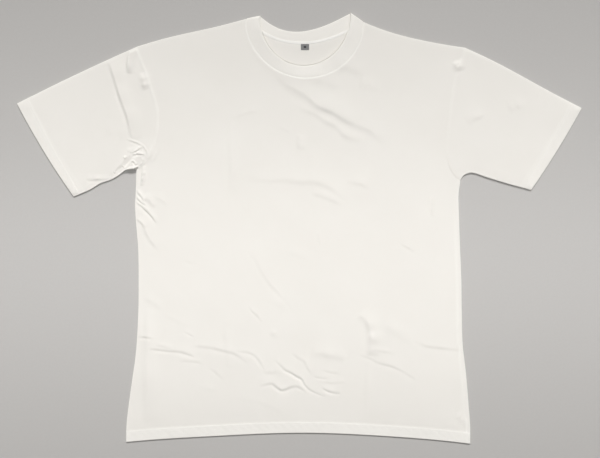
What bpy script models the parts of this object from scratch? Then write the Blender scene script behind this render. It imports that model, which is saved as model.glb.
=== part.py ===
"""A crew neck T-shirt laid flat on a table, face up, with its sleeves spread.

The frame is the table's: +X towards the wearer's left sleeve, +Y towards the collar, +Z up, and the
origin on the table under the middle of the shirt. Each piece that is cut and sewn is an object: the
front, the back, two sleeves folded flat as tubes, the ring of rib at the neck, the tape over the back
neck seam and the small label under it. Sizes in the tables are millimetres.
"""

import math
from collections import namedtuple

import bmesh
import bpy
from mathutils import Matrix, Vector

MM = 0.001
WELD = 0.000001

# Cloth walls and the clearance between pieces
JERSEY = 1.2
HEM_WALL = 2.2
RIB_WALL = 1.8
TAPE_WALL = 1.0
LABEL_WALL = 0.8
GAP = 0.3

# The body, from the middle of the laid shirt
HEM_Y = -373.3
HEM_RISE = 17.6
HEM_TILT = 1.5
HEM_DEPTH = 19.0
HEM_STEP = 2.0
HEM_SETBACK = 0.8
SideRow = namedtuple("SideRow", "y right left")
SIDE_SEAMS = [
    SideRow(-341, 302.0, 296.8),
    SideRow(-313, 299.0, 294.8),
    SideRow(-285, 295.2, 291.6),
    SideRow(-257, 291.2, 288.4),
    SideRow(-229, 287.2, 285.8),
    SideRow(-201, 284.4, 283.8),
    SideRow(-146, 281.6, 282.4),
    SideRow(-90, 281.0, 281.6),
    SideRow(-34, 281.6, 279.4),
    SideRow(21, 285.4, 277.6),
    SideRow(60, 285.2, 276.8),
]
HEM_CORNER = SideRow(HEM_Y, 302.6, 297.0)
ARMPIT_RIGHT = (-284.8, 103.0)
ARMPIT_LEFT = (280.2, 85.0)
ArmholePoint = namedtuple("ArmholePoint", "right_y right_x left_y left_x")
ARMHOLES = [
    ArmholePoint(109, -273.0, 93, 269.5),
    ArmholePoint(123, -261.5, 107, 260.5),
    ArmholePoint(145, -253.2, 132, 255.6),
    ArmholePoint(171, -246.9, 160, 256.4),
    ArmholePoint(191, -245.8, 190, 258.8),
    ArmholePoint(212, -247.4, 220, 262.4),
    ArmholePoint(246, -257.4, 246, 266.2),
    ArmholePoint(268, -264.2, 270, 271.8),
    ArmholePoint(292, -274.5, 294, 280.3),
]
SHOULDER_TIPS = ((-283.5, 317.2), (287.5, 315.6))
SHOULDER_BOWS = (2.2, -6.4)

# The sleeves: the cuff's two corners, how far its two upper edges bow out, and points under the arm
Sleeve = namedtuple("Sleeve", "side cuff_top cuff_under fold_bow cuff_bow under_points")
SLEEVES = {
    "sleeve_right": Sleeve(
        -1,
        (-491.0, 216.5),
        (-392.6, 57.4),
        1.6,
        3.3,
        ((-310, 95.0), (-350, 77.5)),
    ),
    "sleeve_left": Sleeve(
        1,
        (491.0, 211.8),
        (402.8, 68.4),
        1.4,
        2.4,
        ((286, 93.5), (300, 98.5), (326, 91.0), (360, 80.5)),
    ),
}
CUFF_DEPTH = 22.0
SLEEVE_ROLL = 2.1
ROLL_REACH = 45.0

# The neck: each edge of the rib hangs as an arc between its two ends at the shoulder seams
NeckArc = namedtuple("NeckArc", "right left drop fullness lean")
NECK_SEAM_ENDS = ((-92.7, 362.9), (109.8, 360.2))
NECK_FREE_ENDS = ((-69.5, 368.6), (88.4, 372.9))
FRONT_SEAM = NeckArc(*NECK_SEAM_ENDS, 98.8, 1.0, 0.0)
FRONT_FREE = NeckArc(*NECK_FREE_ENDS, 87.2, 0.95, 0.0)
BACK_SEAM = NeckArc(*NECK_SEAM_ENDS, 37.8, 1.85, -9.0)
BACK_FREE = NeckArc(*NECK_FREE_ENDS, 28.0, 2.5, -18.0)
COLLAR_FOLD = 2.6
COLLAR_LIFT = 1.5
COLLAR_LIFT_REACH = 22.0
RIB_EDGE = 0.6
TAPE_OVER_RIB = 3.0
TAPE_OVER_BACK = 3.2
TAPE_SPAN = (0.16, 0.84)
LABEL_SIZE = (15.0, 11.0)
LABEL_X = 9.0

# How the cloth lies
FRONT_TOP = 2 * JERSEY + GAP
HEM_TOP = 2 * HEM_WALL + GAP
AIR = 3.0
AIR_REACH = 45.0
FOLD_FADE = 18.0

# The largest folds. Heights are measured on the crest; a fold falls off over its two sides, the first
# on the left of the line from start to end. Bow is the line's sagitta, to its left.
Fold = namedtuple("Fold", "x0 y0 x1 y1 bow height left right")
FOLDS = [
    Fold(-52, 268, 157, 142, -9, 5.0, 42, 15),
    Fold(5, 205, 103, 150, -5, 2.0, 22, 15),
    Fold(-92, 84, 90, 42, 14, 2.2, 24, 15),
    Fold(-95, -24, -12, -146, -7, 2.2, 24, 15),
    Fold(-90, -132, -48, -175, -3, 2.0, 20, 15),
    Fold(-272, -206, -184, -222, 4, 2.8, 22, 15),
    Fold(-184, -203, -86, -234, 8, 3.0, 24, 15),
    Fold(-108, -211, -60, -244, 8, 2.4, 20, 15),
    Fold(-44, -228, 44, -292, 4, 4.2, 24, 15),
    Fold(-66, -270, 8, -281, -3, 3.0, 18, 16),
    Fold(-12, -217, 24, -252, 3, 2.2, 18, 15),
    Fold(38, -278, 74, -287, 0, 2.4, 16, 15),
    Fold(114, -222, 206, -264, -3, 3.2, 24, 15),
    Fold(104, -152, 119, -214, 6, 1.8, 20, 18),
    Fold(200, -195, 282, -211, -4, 2.6, 22, 15),
    Fold(-287, 45, -252, 14, 2, 3.6, 18, 14),
    Fold(-284, 18, -244, -38, -5, 3.2, 18, 15),
    Fold(-266, 58, -250, 30, 2, 2.6, 16, 14),
    Fold(-328, 292, -296, 168, 4, 5.0, 30, 14),
    Fold(-300, 300, -299, 262, -4, 2.4, 14, 13),
    Fold(-345, 90, -262, 152, 5, 4.6, 16, 15),
    Fold(-318, 98, -268, 128, 0, -3.0, 14, 14),
    Fold(-290, 112, -262, 158, -2, 3.6, 14, 14),
    Fold(-380, 68, -330, 98, 4, 2.6, 18, 14),
    Fold(292, 184, 330, 204, 2, 1.6, 20, 18),
    Fold(362, 200, 392, 214, 0, 1.4, 18, 16),
]

# Where the front's grid is split: a share of the neck edge, and a share of the armhole
NECK_QUARTER = 0.25
ARMHOLE_SPLIT = 0.56

# Grid counts
SIDE_COLUMNS = 13
NECK_COLUMNS = 12
BODY_ROWS = 29
ARMHOLE_ROWS = 8
LOBE_ROWS = 5
BACK_SHOULDER_COLUMNS = 5
BACK_NECK_COLUMNS = 16
BACK_ROWS = 10
SLEEVE_STATIONS = 11
ROUND_STEPS = 4
OUTLINE_STEP = 12.0

COLOURS = {
    "cotton": (0.86, 0.83, 0.79, 1.0),
    "rib": (0.84, 0.82, 0.77, 1.0),
    "label": (0.22, 0.22, 0.22, 1.0),
}
COTTON_ROUGHNESS = 0.92


# Lines in plan. A line is a function from 0..1 to a point.


def straight(start, end, bow=0.0):
    """A line that bows to its left by the sagitta given."""
    start = Vector(start)
    along = Vector(end) - start
    out = Vector((-along.y, along.x)).normalized() * bow
    return lambda t: start + along * t + out * (4 * t * (1 - t))


def through(points):
    """A smooth line through points, at an even pace."""
    points = [Vector(p) for p in points]
    marks = [0.0]
    for a, b in zip(points, points[1:]):
        marks.append(marks[-1] + (b - a).length)

    def slope(i):
        before, after = max(i - 1, 0), min(i + 1, len(points) - 1)
        return (points[after] - points[before]) / (marks[after] - marks[before])

    def at(t):
        place = min(max(t, 0.0), 1.0) * marks[-1]
        i = max(k for k in range(len(points) - 1) if marks[k] <= place or k == 0)
        span = marks[i + 1] - marks[i]
        s = (place - marks[i]) / span
        blend = s * s * (3 - 2 * s)
        ease_out, ease_in = s * (1 - s) ** 2, s * s * (s - 1)
        return (
            points[i].lerp(points[i + 1], blend)
            + slope(i) * (span * ease_out)
            + slope(i + 1) * (span * ease_in)
        )

    return at


def hanging(arc):
    """A neck edge: round when its fullness is 1, pointed at the ends when it is 2."""
    right, left = Vector(arc.right), Vector(arc.left)

    def at(t):
        sag = max(math.sin(math.pi * t), 0.0) ** arc.fullness
        across = (1 - math.cos(math.pi * t)) / 2
        return right.lerp(left, across) + Vector((arc.lean * sag, -arc.drop * sag))

    return at


def beside(line, distance):
    """The line moved to its left by a distance."""

    def at(t):
        low, high = max(t - 0.002, 0.0), min(t + 0.002, 1.0)
        along = (line(high) - line(low)).normalized()
        return line(t) + Vector((-along.y, along.x)) * distance

    return at


def part_of(line, start, end):
    return lambda t: line(start + (end - start) * t)


def spaced(line, count, first=0.0, last=1.0):
    """Points at equal steps of the line's own measure, both ends included."""
    return [line(first + (last - first) * i / count) for i in range(count + 1)]


def chain(*stretches):
    """Lists of points end to end, with each shared end kept once."""
    points = list(stretches[0])
    for stretch in stretches[1:]:
        points += stretch[1:]
    return points


# The garment's own lines


def pick(pair, side):
    """Of a pair given as the wearer's right and left, the one on a side."""
    return pair[0] if side < 0 else pair[1]


def armpit(side):
    return Vector(pick((ARMPIT_RIGHT, ARMPIT_LEFT), side))


def shoulder_tip(side):
    return Vector(pick(SHOULDER_TIPS, side))


def hem_line():
    right = (-HEM_CORNER.right, HEM_Y + HEM_TILT)
    return straight(right, (HEM_CORNER.left, HEM_Y - HEM_TILT), HEM_RISE)


def side_seam(side):
    rows = [(side * pick((row.right, row.left), side), row.y) for row in SIDE_SEAMS]
    return through([hem_line()(0 if side < 0 else 1), *rows, armpit(side)])


def armhole(side):
    right = [(row.right_x, row.right_y) for row in ARMHOLES]
    left = [(row.left_x, row.left_y) for row in ARMHOLES]
    return through([armpit(side), *pick((right, left), side), shoulder_tip(side)])


def shoulder(side, neck=None):
    """From the shoulder tip to the neck."""
    neck = pick(NECK_SEAM_ENDS, side) if neck is None else neck
    return straight(shoulder_tip(side), neck, -side * pick(SHOULDER_BOWS, side))


def silhouette():
    """Points round the whole laid shirt, for how far a place is from an edge."""
    lines = [hem_line()]
    for side, sleeve in ((1, SLEEVES["sleeve_left"]), (-1, SLEEVES["sleeve_right"])):
        lines += [side_seam(side), shoulder(side), *sleeve_edges(sleeve)]
    points = []
    for line in lines:
        length = (line(1) - line(0)).length
        points += spaced(line, max(2, round(length / OUTLINE_STEP)))
    return points


def sleeve_edges(sleeve):
    """The sleeve's top fold and its underarm edge, each from the body to the cuff, and the cuff."""
    top, under = Vector(sleeve.cuff_top), Vector(sleeve.cuff_under)
    fold = straight(shoulder_tip(sleeve.side), top, sleeve.side * sleeve.fold_bow)
    cuff = straight(top, under, sleeve.side * sleeve.cuff_bow)
    below = through([armpit(sleeve.side), *sleeve.under_points, under])
    return fold, cuff, below


# Heights


def fold_height(fold, x, y):
    start, end = Vector((fold.x0, fold.y0)), Vector((fold.x1, fold.y1))
    along = end - start
    t = (Vector((x, y)) - start).dot(along) / along.length_squared
    if not 0 < t < 1:
        return 0.0
    normal = Vector((-along.y, along.x)).normalized()
    off = (Vector((x, y)) - start).dot(normal) - fold.bow * 4 * t * (1 - t)
    reach = fold.left if off > 0 else fold.right
    return fold.height * math.exp(-((off / reach) ** 2)) * math.sin(math.pi * t) ** 0.7


class Drape:
    """Where the upper cloth lies: its height over the table at a place in plan."""

    def __init__(self):
        self.edge = silhouette()

    def from_edge(self, x, y):
        return math.sqrt(min((p.x - x) ** 2 + (p.y - y) ** 2 for p in self.edge))

    def top(self, x, y):
        away = self.from_edge(x, y)
        folds = sum(fold_height(fold, x, y) for fold in FOLDS)
        air = AIR * (1 - math.exp(-away / AIR_REACH))
        return max(FRONT_TOP + air + folds * min(1.0, away / FOLD_FADE), FRONT_TOP)


# Meshes


def grid_into(bm, rows):
    """Adds a sheet of quads whose corners are the rows of points given, in millimetres."""
    made = bmesh.ops.create_grid(bm, x_segments=len(rows[0]) - 1, y_segments=len(rows) - 1, size=1)
    points = [point for row in rows for point in row]
    for vert, point in zip(made["verts"], points):
        vert.co = Vector(point) * MM


def weld(bm):
    bmesh.ops.remove_doubles(bm, verts=bm.verts, dist=WELD)
    bmesh.ops.recalc_face_normals(bm, faces=bm.faces)


def shares(points):
    """How far along each point is, as a share of the whole length."""
    marks = [0.0]
    for a, b in zip(points, points[1:]):
        marks.append(marks[-1] + (b - a).length)
    return [mark / marks[-1] for mark in marks]


def coons(bottom, top, right, left):
    """Rows of points in plan that fill four edges. Bottom and top run right to left, the sides up.

    A row near the bottom or the top edge runs along that edge.
    """
    columns = len(bottom) - 1
    grid = []
    for j, share in enumerate(shares(right)):
        v = share * share * (3 - 2 * share)
        row = []
        for i in range(columns + 1):
            u = i / columns
            corners = bottom[0].lerp(bottom[-1], u).lerp(top[0].lerp(top[-1], u), v)
            row.append(bottom[i].lerp(top[i], v) + right[j].lerp(left[j], u) - corners)
        grid.append(row)
    return grid


def raised(plan, height):
    return [[(p.x, p.y, height(j, p)) for p in row] for j, row in enumerate(plan)]


def thicken_down(bm, wall_at):
    """Closes a sheet into a wall: a second skin lies below it by the wall's thickness."""
    made = bmesh.ops.extrude_face_region(bm, geom=bm.faces[:], use_keep_orig=True)
    for vert in made["geom"]:
        if isinstance(vert, bmesh.types.BMVert):
            vert.co.z -= wall_at(vert.co / MM) * MM
    bmesh.ops.recalc_face_normals(bm, faces=bm.faces)


def add_object(name, bm, material, collection):
    mesh = bpy.data.meshes.new(name)
    bm.to_mesh(mesh)
    bm.free()
    mesh.materials.append(material)
    mesh.shade_smooth()
    mesh.set_sharp_from_angle(angle=math.radians(50))
    made = bpy.data.objects.new(name, mesh)
    collection.objects.link(made)
    return made


# The pieces


def armhole_marks():
    """Where the rows of the front and the back and the lines of the sleeve meet at the armhole."""
    lower = [ARMHOLE_SPLIT * i / ARMHOLE_ROWS for i in range(ARMHOLE_ROWS)]
    upper = [ARMHOLE_SPLIT + (1 - ARMHOLE_SPLIT) * i / LOBE_ROWS for i in range(LOBE_ROWS + 1)]
    return lower + upper


def front_neck_marks():
    """Where the columns and rows of the front meet its neck edge, so that the rib follows them."""
    quarter = [NECK_QUARTER * i / LOBE_ROWS for i in range(LOBE_ROWS)]
    middle = [
        NECK_QUARTER + (1 - 2 * NECK_QUARTER) * i / NECK_COLUMNS for i in range(NECK_COLUMNS + 1)
    ]
    return [*quarter, *middle, *(1 - mark for mark in reversed(quarter))]


def hem_depth(point):
    """How far a place is above the hem's edge."""
    line = hem_line()
    t = (point.x - line(0).x) / (line(1).x - line(0).x)
    return point.y - line(min(max(t, 0.0), 1.0)).y


def body_wall(point):
    return HEM_WALL if hem_depth(point) < HEM_DEPTH + HEM_STEP / 2 else JERSEY


def seam_rows(side, rows, fold=HEM_DEPTH):
    """Points up a side seam, with a pair where the hem's fold ends."""
    seam = side_seam(side)
    length = (seam(1) - seam(0)).length
    return [seam(0), seam(fold / length), *spaced(seam, rows, (fold + HEM_STEP) / length)]


def make_front(drape, material, collection):
    neck = beside(hanging(FRONT_SEAM), -GAP)
    quarter, split = NECK_QUARTER, ARMHOLE_SPLIT
    corner = {-1: neck(quarter), 1: neck(1 - quarter)}
    neck_end = {-1: neck(0), 1: neck(1)}
    split_at = {side: armhole(side)(split) for side in (-1, 1)}
    level = {side: straight(split_at[side], corner[side]) for side in (-1, 1)}
    hem = hem_line()
    width = hem(1).x - hem(0).x
    hem_marks = [(corner[side].x - hem(0).x) / width for side in (-1, 1)]

    bottom = chain(
        spaced(hem, SIDE_COLUMNS, 0, hem_marks[0]),
        spaced(hem, NECK_COLUMNS, *hem_marks),
        spaced(hem, SIDE_COLUMNS, hem_marks[1], 1),
    )
    top = chain(
        spaced(level[-1], SIDE_COLUMNS),
        spaced(neck, NECK_COLUMNS, quarter, 1 - quarter),
        spaced(level[1], SIDE_COLUMNS, 1, 0),
    )
    sides = [
        chain(seam_rows(side, BODY_ROWS), spaced(armhole(side), ARMHOLE_ROWS, 0, split))
        for side in (-1, 1)
    ]
    plans = [coons(bottom, top, *sides)]
    for side in (-1, 1):
        tip_to_neck = shoulder(side, neck_end[side])
        armhole_edge = spaced(armhole(side), LOBE_ROWS, split, 1)
        neck_side = (quarter, 0) if side < 0 else (1 - quarter, 1)
        neck_edge = spaced(neck, LOBE_ROWS, *neck_side)
        plans.append(
            coons(
                spaced(level[side], SIDE_COLUMNS),
                spaced(tip_to_neck, SIDE_COLUMNS),
                armhole_edge,
                neck_edge,
            )
        )

    def height(_, point):
        lying = drape.top(point.x, point.y)
        return lying if hem_depth(point) > HEM_DEPTH + HEM_STEP / 2 else max(lying, HEM_TOP)

    bm = bmesh.new()
    for plan in plans:
        grid_into(bm, raised(plan, height))
    weld(bm)
    thicken_down(bm, body_wall)
    return add_object("front_panel", bm, material, collection)


def make_back(material, collection):
    """The back lies flat on the table, with the seam allowances and the hem on its upper side."""
    neck = beside(hanging(BACK_SEAM), -GAP)
    shoulders = [shoulder(side, neck(pick((0, 1), side))) for side in (-1, 1)]
    top = chain(
        spaced(shoulders[0], BACK_SHOULDER_COLUMNS),
        spaced(neck, BACK_NECK_COLUMNS),
        spaced(shoulders[1], BACK_SHOULDER_COLUMNS, 1, 0),
    )
    bottom = spaced(hem_line(), 2 * BACK_SHOULDER_COLUMNS + BACK_NECK_COLUMNS)
    sides = [
        chain(
            seam_rows(side, BACK_ROWS, HEM_DEPTH - HEM_SETBACK),
            [armhole(side)(mark) for mark in armhole_marks()],
        )
        for side in (-1, 1)
    ]
    bm = bmesh.new()
    plan = coons(bottom, top, *sides)
    grid_into(bm, raised(plan, lambda _, point: body_wall(point)))
    weld(bm)
    thicken_down(bm, body_wall)
    return add_object("back_panel", bm, material, collection)


def sleeve_section(drape, fold, under, roll, wall):
    """One ring round the flattened tube: its outer points, and its inner ones a wall further in."""
    across = (under - fold).normalized()
    edge_height = FRONT_TOP + roll
    radius = edge_height / 2
    start, end = fold + across * radius, under - across * radius
    lines = [fold.lerp(under, 1 - mark) for mark in armhole_marks()[-2:0:-1]]
    lines = [start, *lines, end]
    outer, inner = [], []

    def add(place, z, way_x, way_z):
        outer.append((place.x, place.y, z))
        moved = place + across * (way_x * wall)
        inner.append((moved.x, moved.y, z + way_z * wall))

    for place in lines:
        away = drape.from_edge(place.x, place.y)
        z = drape.top(place.x, place.y) + roll * math.exp(-away / AIR_REACH)
        near = min((place - start).length, (end - place).length)
        settle = min(1.0, near / FOLD_FADE)
        add(place, edge_height + (max(z, 2 * wall + GAP) - edge_height) * settle, 0, -1)
    for turn, centre, way in ((0, end, 1), (math.pi, start, -1)):
        if turn:
            for place in reversed(lines):
                add(place, 0.0, 0, 1)
        for i in range(1, ROUND_STEPS):
            angle = turn + math.pi * i / ROUND_STEPS
            out, up = math.sin(angle), math.cos(angle)
            add(centre + across * (out * radius), radius + up * radius, -out, -up)
    outer.append(outer[0])
    inner.append(inner[0])
    return outer, inner


def make_sleeve(name, sleeve, drape, material, collection):
    """A tube pressed flat: the fold at the top, the seam underneath, open at the armhole and the cuff."""
    fold, cuff, below = sleeve_edges(sleeve)
    shift = sleeve.side * GAP
    seam = beside(armhole(sleeve.side), -shift)
    length = (fold(1) - fold(0)).length
    marks = [i / SLEEVE_STATIONS for i in range(SLEEVE_STATIONS)]
    last = 1 - (CUFF_DEPTH + HEM_STEP) / length
    marks = [mark * last for mark in marks] + [last, 1 - CUFF_DEPTH / length, 1]
    outer_rings, inner_rings = [], []
    for mark in marks:
        folded = mark > last
        wall = HEM_WALL if folded else JERSEY
        roll = SLEEVE_ROLL * min(1.0, mark * length / ROLL_REACH)
        outer, inner = sleeve_section(drape, fold(mark), below(mark), roll, wall)
        bend = sleeve_bend(seam, cuff, fold, below, mark)
        outer_rings.append([bend(p) for p in outer])
        inner_rings.append([bend(p) for p in inner])
    bm = bmesh.new()
    grid_into(bm, [*outer_rings, *reversed(inner_rings), outer_rings[0]])
    weld(bm)
    return add_object(name, bm, material, collection)


def sleeve_bend(seam, cuff, fold, below, mark):
    """Moves a straight ring so that its ends follow the curved armhole and the bowed cuff."""
    start, end = fold(mark), below(mark)
    span = end - start
    armhole_chord = (fold(0), below(0))
    cuff_chord = (fold(1), below(1))

    def bent(point):
        t = min(max((Vector(point[:2]) - start).dot(span) / span.length_squared, 0.0), 1.0)
        at_body = seam(1 - t) - armhole_chord[0].lerp(armhole_chord[1], t)
        at_cuff = cuff(t) - cuff_chord[0].lerp(cuff_chord[1], t)
        move = at_body * (1 - mark) + at_cuff * mark
        return (point[0] + move.x, point[1] + move.y, point[2])

    return bent


def collar_stations():
    """Pairs of points along the ring, the seam edge and the free edge, with the way its face looks.

    The ring lies on the front, folds over at one shoulder seam, comes back under as the back neck and
    folds again at the other. The face turns with it.
    """
    front = (beside(hanging(FRONT_SEAM), 0), hanging(FRONT_FREE))
    back = (hanging(BACK_SEAM), hanging(BACK_FREE))
    low = RIB_WALL / 2
    stations = []

    def add(seam, free, z, turn):
        stations.append(((seam.x, seam.y, z), (free.x, free.y, z), turn))

    for t in front_neck_marks():
        seam, free = front[0](t), front[1](t)
        from_fold = min((seam - front[0](0)).length, (seam - front[0](1)).length)
        lift = COLLAR_LIFT * min(1.0, from_fold / COLLAR_LIFT_REACH)
        add(seam, free, low + COLLAR_FOLD + lift, 0.0)
    for end, stretch in ((1, range(BACK_NECK_COLUMNS, -1, -1)), (0, ())):
        for i in range(1, ROUND_STEPS):
            angle = math.pi * i / ROUND_STEPS
            turn = angle if end else math.pi + angle
            reach = Vector((0, math.sin(angle) * COLLAR_FOLD / 2))
            z = low + COLLAR_FOLD / 2 * (1 + math.cos(turn))
            add(front[0](end) + reach, front[1](end) + reach, z, turn)
        for i in stretch:
            t = i / BACK_NECK_COLUMNS
            add(back[0](t), back[1](t), low, math.pi)
    return stations


def make_collar(material, collection):
    half = RIB_WALL / 2
    rings = []
    for seam, free, turn in collar_stations():
        seam, free = Vector(seam), Vector(free)
        across = (free - seam).normalized()
        face = Vector((0, math.sin(turn), math.cos(turn)))
        outline = [(0, -1), (0, 1), (1, 1), (1, -1)]
        ring = []
        for end, way in outline:
            corner, inward = (free, -across) if end else (seam, across)
            ends = [corner + inward * RIB_EDGE + face * (way * half)]
            ends.append(corner + face * (way * (half - RIB_EDGE)))
            first_inner = (end == 0) == (way < 0)
            ring += ends if first_inner else ends[::-1]
        rings.append([*ring, ring[0]])
    bm = bmesh.new()
    grid_into(bm, [*rings, rings[0]])
    weld(bm)
    return add_object("collar_rib", bm, material, collection)


def make_tape(material, collection):
    """A narrow strip on the inside of the back neck seam, half on the rib and half on the back."""
    seam = hanging(BACK_SEAM)
    on_rib, on_back = RIB_WALL + GAP + TAPE_WALL, JERSEY + GAP + TAPE_WALL
    profile = [(TAPE_OVER_RIB, on_rib), (0.0, on_rib), (-2 * GAP, on_rib), (-TAPE_OVER_BACK, on_back)]
    rows = []
    for offset, z in profile:
        line = part_of(beside(seam, offset), *TAPE_SPAN)
        rows.append([(p.x, p.y, z) for p in spaced(line, BACK_NECK_COLUMNS)])
    bm = bmesh.new()
    grid_into(bm, rows)
    weld(bm)
    thicken_down(bm, lambda point: TAPE_WALL)
    return add_object("neck_tape", bm, material, collection)


def make_label(material, collection):
    """A small woven label whose top edge meets the tape."""
    seam = hanging(BACK_SEAM)
    t = min((i / 200 for i in range(60, 140)), key=lambda s: abs(seam(s).x - LABEL_X))
    top = seam(t).y - TAPE_OVER_BACK - 2 * GAP
    bpy.ops.mesh.primitive_cube_add(size=1)
    label = bpy.context.object
    label.name = label.data.name = "neck_label"
    width, height = LABEL_SIZE
    label.data.transform(Matrix.Diagonal((width * MM, height * MM, LABEL_WALL * MM, 1)))
    label.location = Vector((LABEL_X, top - height / 2, JERSEY + GAP + LABEL_WALL / 2)) * MM
    label.data.materials.append(material)
    for old in label.users_collection:
        old.objects.unlink(label)
    collection.objects.link(label)
    return label


def cloth_material(name):
    material = bpy.data.materials.new(name)
    material.use_nodes = True
    shader = material.node_tree.nodes["Principled BSDF"]
    shader.inputs["Base Color"].default_value = COLOURS[name]
    shader.inputs["Roughness"].default_value = COTTON_ROUGHNESS
    material.diffuse_color = COLOURS[name]
    return material


def main():
    for old in list(bpy.data.objects):
        bpy.data.objects.remove(old)
    collection = bpy.data.collections.new("t_shirt")
    bpy.context.scene.collection.children.link(collection)
    cotton, rib, woven = (cloth_material(name) for name in COLOURS)
    drape = Drape()
    make_back(cotton, collection)
    make_front(drape, cotton, collection)
    for name, sleeve in SLEEVES.items():
        make_sleeve(name, sleeve, drape, cotton, collection)
    make_collar(rib, collection)
    make_tape(cotton, collection)
    make_label(woven, collection)


main()
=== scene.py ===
import math

import bpy
import numpy as np
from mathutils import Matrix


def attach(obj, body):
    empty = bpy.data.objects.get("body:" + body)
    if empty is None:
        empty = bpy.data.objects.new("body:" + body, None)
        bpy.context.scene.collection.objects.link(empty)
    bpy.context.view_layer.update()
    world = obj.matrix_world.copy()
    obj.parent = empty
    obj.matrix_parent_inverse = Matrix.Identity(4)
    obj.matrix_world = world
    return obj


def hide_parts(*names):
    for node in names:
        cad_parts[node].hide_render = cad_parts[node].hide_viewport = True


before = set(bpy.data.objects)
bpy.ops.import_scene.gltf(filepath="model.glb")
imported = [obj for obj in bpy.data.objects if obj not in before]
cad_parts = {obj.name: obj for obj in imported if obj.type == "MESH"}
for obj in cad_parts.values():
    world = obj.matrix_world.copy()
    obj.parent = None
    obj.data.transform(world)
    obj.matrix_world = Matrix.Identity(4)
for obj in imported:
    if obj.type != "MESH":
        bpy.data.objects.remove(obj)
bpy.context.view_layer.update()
mm = 0.001
print("frame loaded:", ", ".join(sorted(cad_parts)))


# Lines in plan, in millimetres. A line is read at shares of its length, 0 to 1

def lineThrough(points):
    points = np.array(points, float)
    marks = np.concatenate([[0.0], np.cumsum(np.hypot(*np.diff(points, axis=0).T))])
    order = np.arange(len(points))
    before, after = np.maximum(order - 1, 0), np.minimum(order + 1, len(points) - 1)
    slopes = (points[after] - points[before]) / (marks[after] - marks[before])[:, None]

    def at(shares):
        place = np.clip(np.asarray(shares, float), 0, 1) * marks[-1]
        i = np.clip(np.searchsorted(marks, place, side="right") - 1, 0, len(points) - 2)
        span = (marks[i + 1] - marks[i])[..., None]
        s = (place - marks[i])[..., None] / span
        ends = points[i] + (points[i + 1] - points[i]) * s * s * (3 - 2 * s)
        return ends + slopes[i] * span * s * (1 - s) ** 2 + slopes[i + 1] * span * s * s * (s - 1)

    return at


def bowedLine(start, end, bow=0.0, wave=0.0, ripple=0.0):
    start, end = np.array(start, float), np.array(end, float)
    along = end - start
    out = np.array([-along[1], along[0]]) / np.hypot(*along)  # to the left of its way

    def at(shares):
        t = np.asarray(shares, float)[..., None]
        aside = bow * 4 * t * (1 - t) + wave * np.sin(2 * np.pi * t) + ripple * np.sin(2 * np.pi * t) ** 2
        return start + along * t + out * aside

    return at


def neckLine(ends, drop, fullness, lean=0.0):
    right, left = np.array(ends, float)

    def at(shares):
        t = np.asarray(shares, float)[..., None]
        sag = np.maximum(np.sin(np.pi * t), 0.0) ** fullness
        across = (1 - np.cos(np.pi * t)) / 2
        return right + (left - right) * across + np.concatenate([lean * sag, -drop * sag], axis=-1)

    return at


def lineBeside(line, distance):
    def at(shares):
        t = np.asarray(shares, float)
        along = line(np.minimum(t + 0.002, 1)) - line(np.maximum(t - 0.002, 0))
        along = along / np.hypot(along[..., 0], along[..., 1])[..., None]
        return line(t) + np.stack([-along[..., 1], along[..., 0]], axis=-1) * distance

    return at


def lineLength(line):
    return float(np.hypot(*np.diff(line(np.linspace(0, 1, 200)), axis=0).T).sum())


def pacedMarks(length, edges, paces):
    # marks along a length: close ones at each end, and steps between them that follow the paces
    places, steps = zip(*paces)
    marks = list(edges)
    while marks[-1] < length - edges[-1]:
        marks.append(marks[-1] + float(np.interp(marks[-1], places, steps)))
    inner = np.array(marks[len(edges) - 1:])
    inner = edges[-1] + (inner - edges[-1]) * (length - 2 * edges[-1]) / (inner[-1] - edges[-1])
    return np.concatenate([edges[:-1], inner, length - np.array(edges[:-1])[::-1]]) / length


def smoothRise(value, start, end):
    t = np.clip((value - start) / (end - start), 0, 1)
    return t * t * (3 - 2 * t)


def hump(value, width):
    return np.exp(-((value / width) ** 2))


# The garment's own lines

bodyCut = {
    "hemEnds": ((-302.6, -371.8), (297.0, -374.8)),
    "hemRise": 17.6,
    "hemWave": -0.9,
    "hemRipple": -1.3,
    "hemDepth": 19.0,
    "hemStitches": (14.5, 18.5),
    # height, and how far out the side seam is there, the wearer's right and left
    "sideRows": [
        (-341, 302.0, 296.8), (-313, 299.0, 294.8), (-285, 295.2, 292.6), (-257, 291.2, 290.2),
        (-229, 287.2, 287.0), (-201, 284.4, 283.8), (-146, 281.6, 282.4), (-90, 281.0, 281.6),
        (-34, 281.8, 279.4), (-6, 284.2, 278.4), (21, 286.3, 277.6), (41, 287.2, 277.0), (60, 286.2, 276.8),
    ],
    "armpits": ((-284.8, 103.0), (280.2, 85.0)),
    "armholes": (
        [(-273.0, 109), (-261.5, 123), (-253.2, 145), (-246.9, 171), (-245.8, 191), (-247.4, 212),
         (-257.4, 246), (-264.2, 268), (-274.5, 292)],
        [(269.5, 93), (260.5, 107), (255.6, 132), (256.4, 160), (258.8, 190), (262.4, 220),
         (266.2, 246), (271.8, 270), (280.3, 294)],
    ),
    "shoulderTips": ((-283.5, 317.2), (287.5, 315.6)),
    "shoulderBows": (0.9, -6.4),
    "shoulderWaves": (1.2, 0.6),
}

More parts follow.
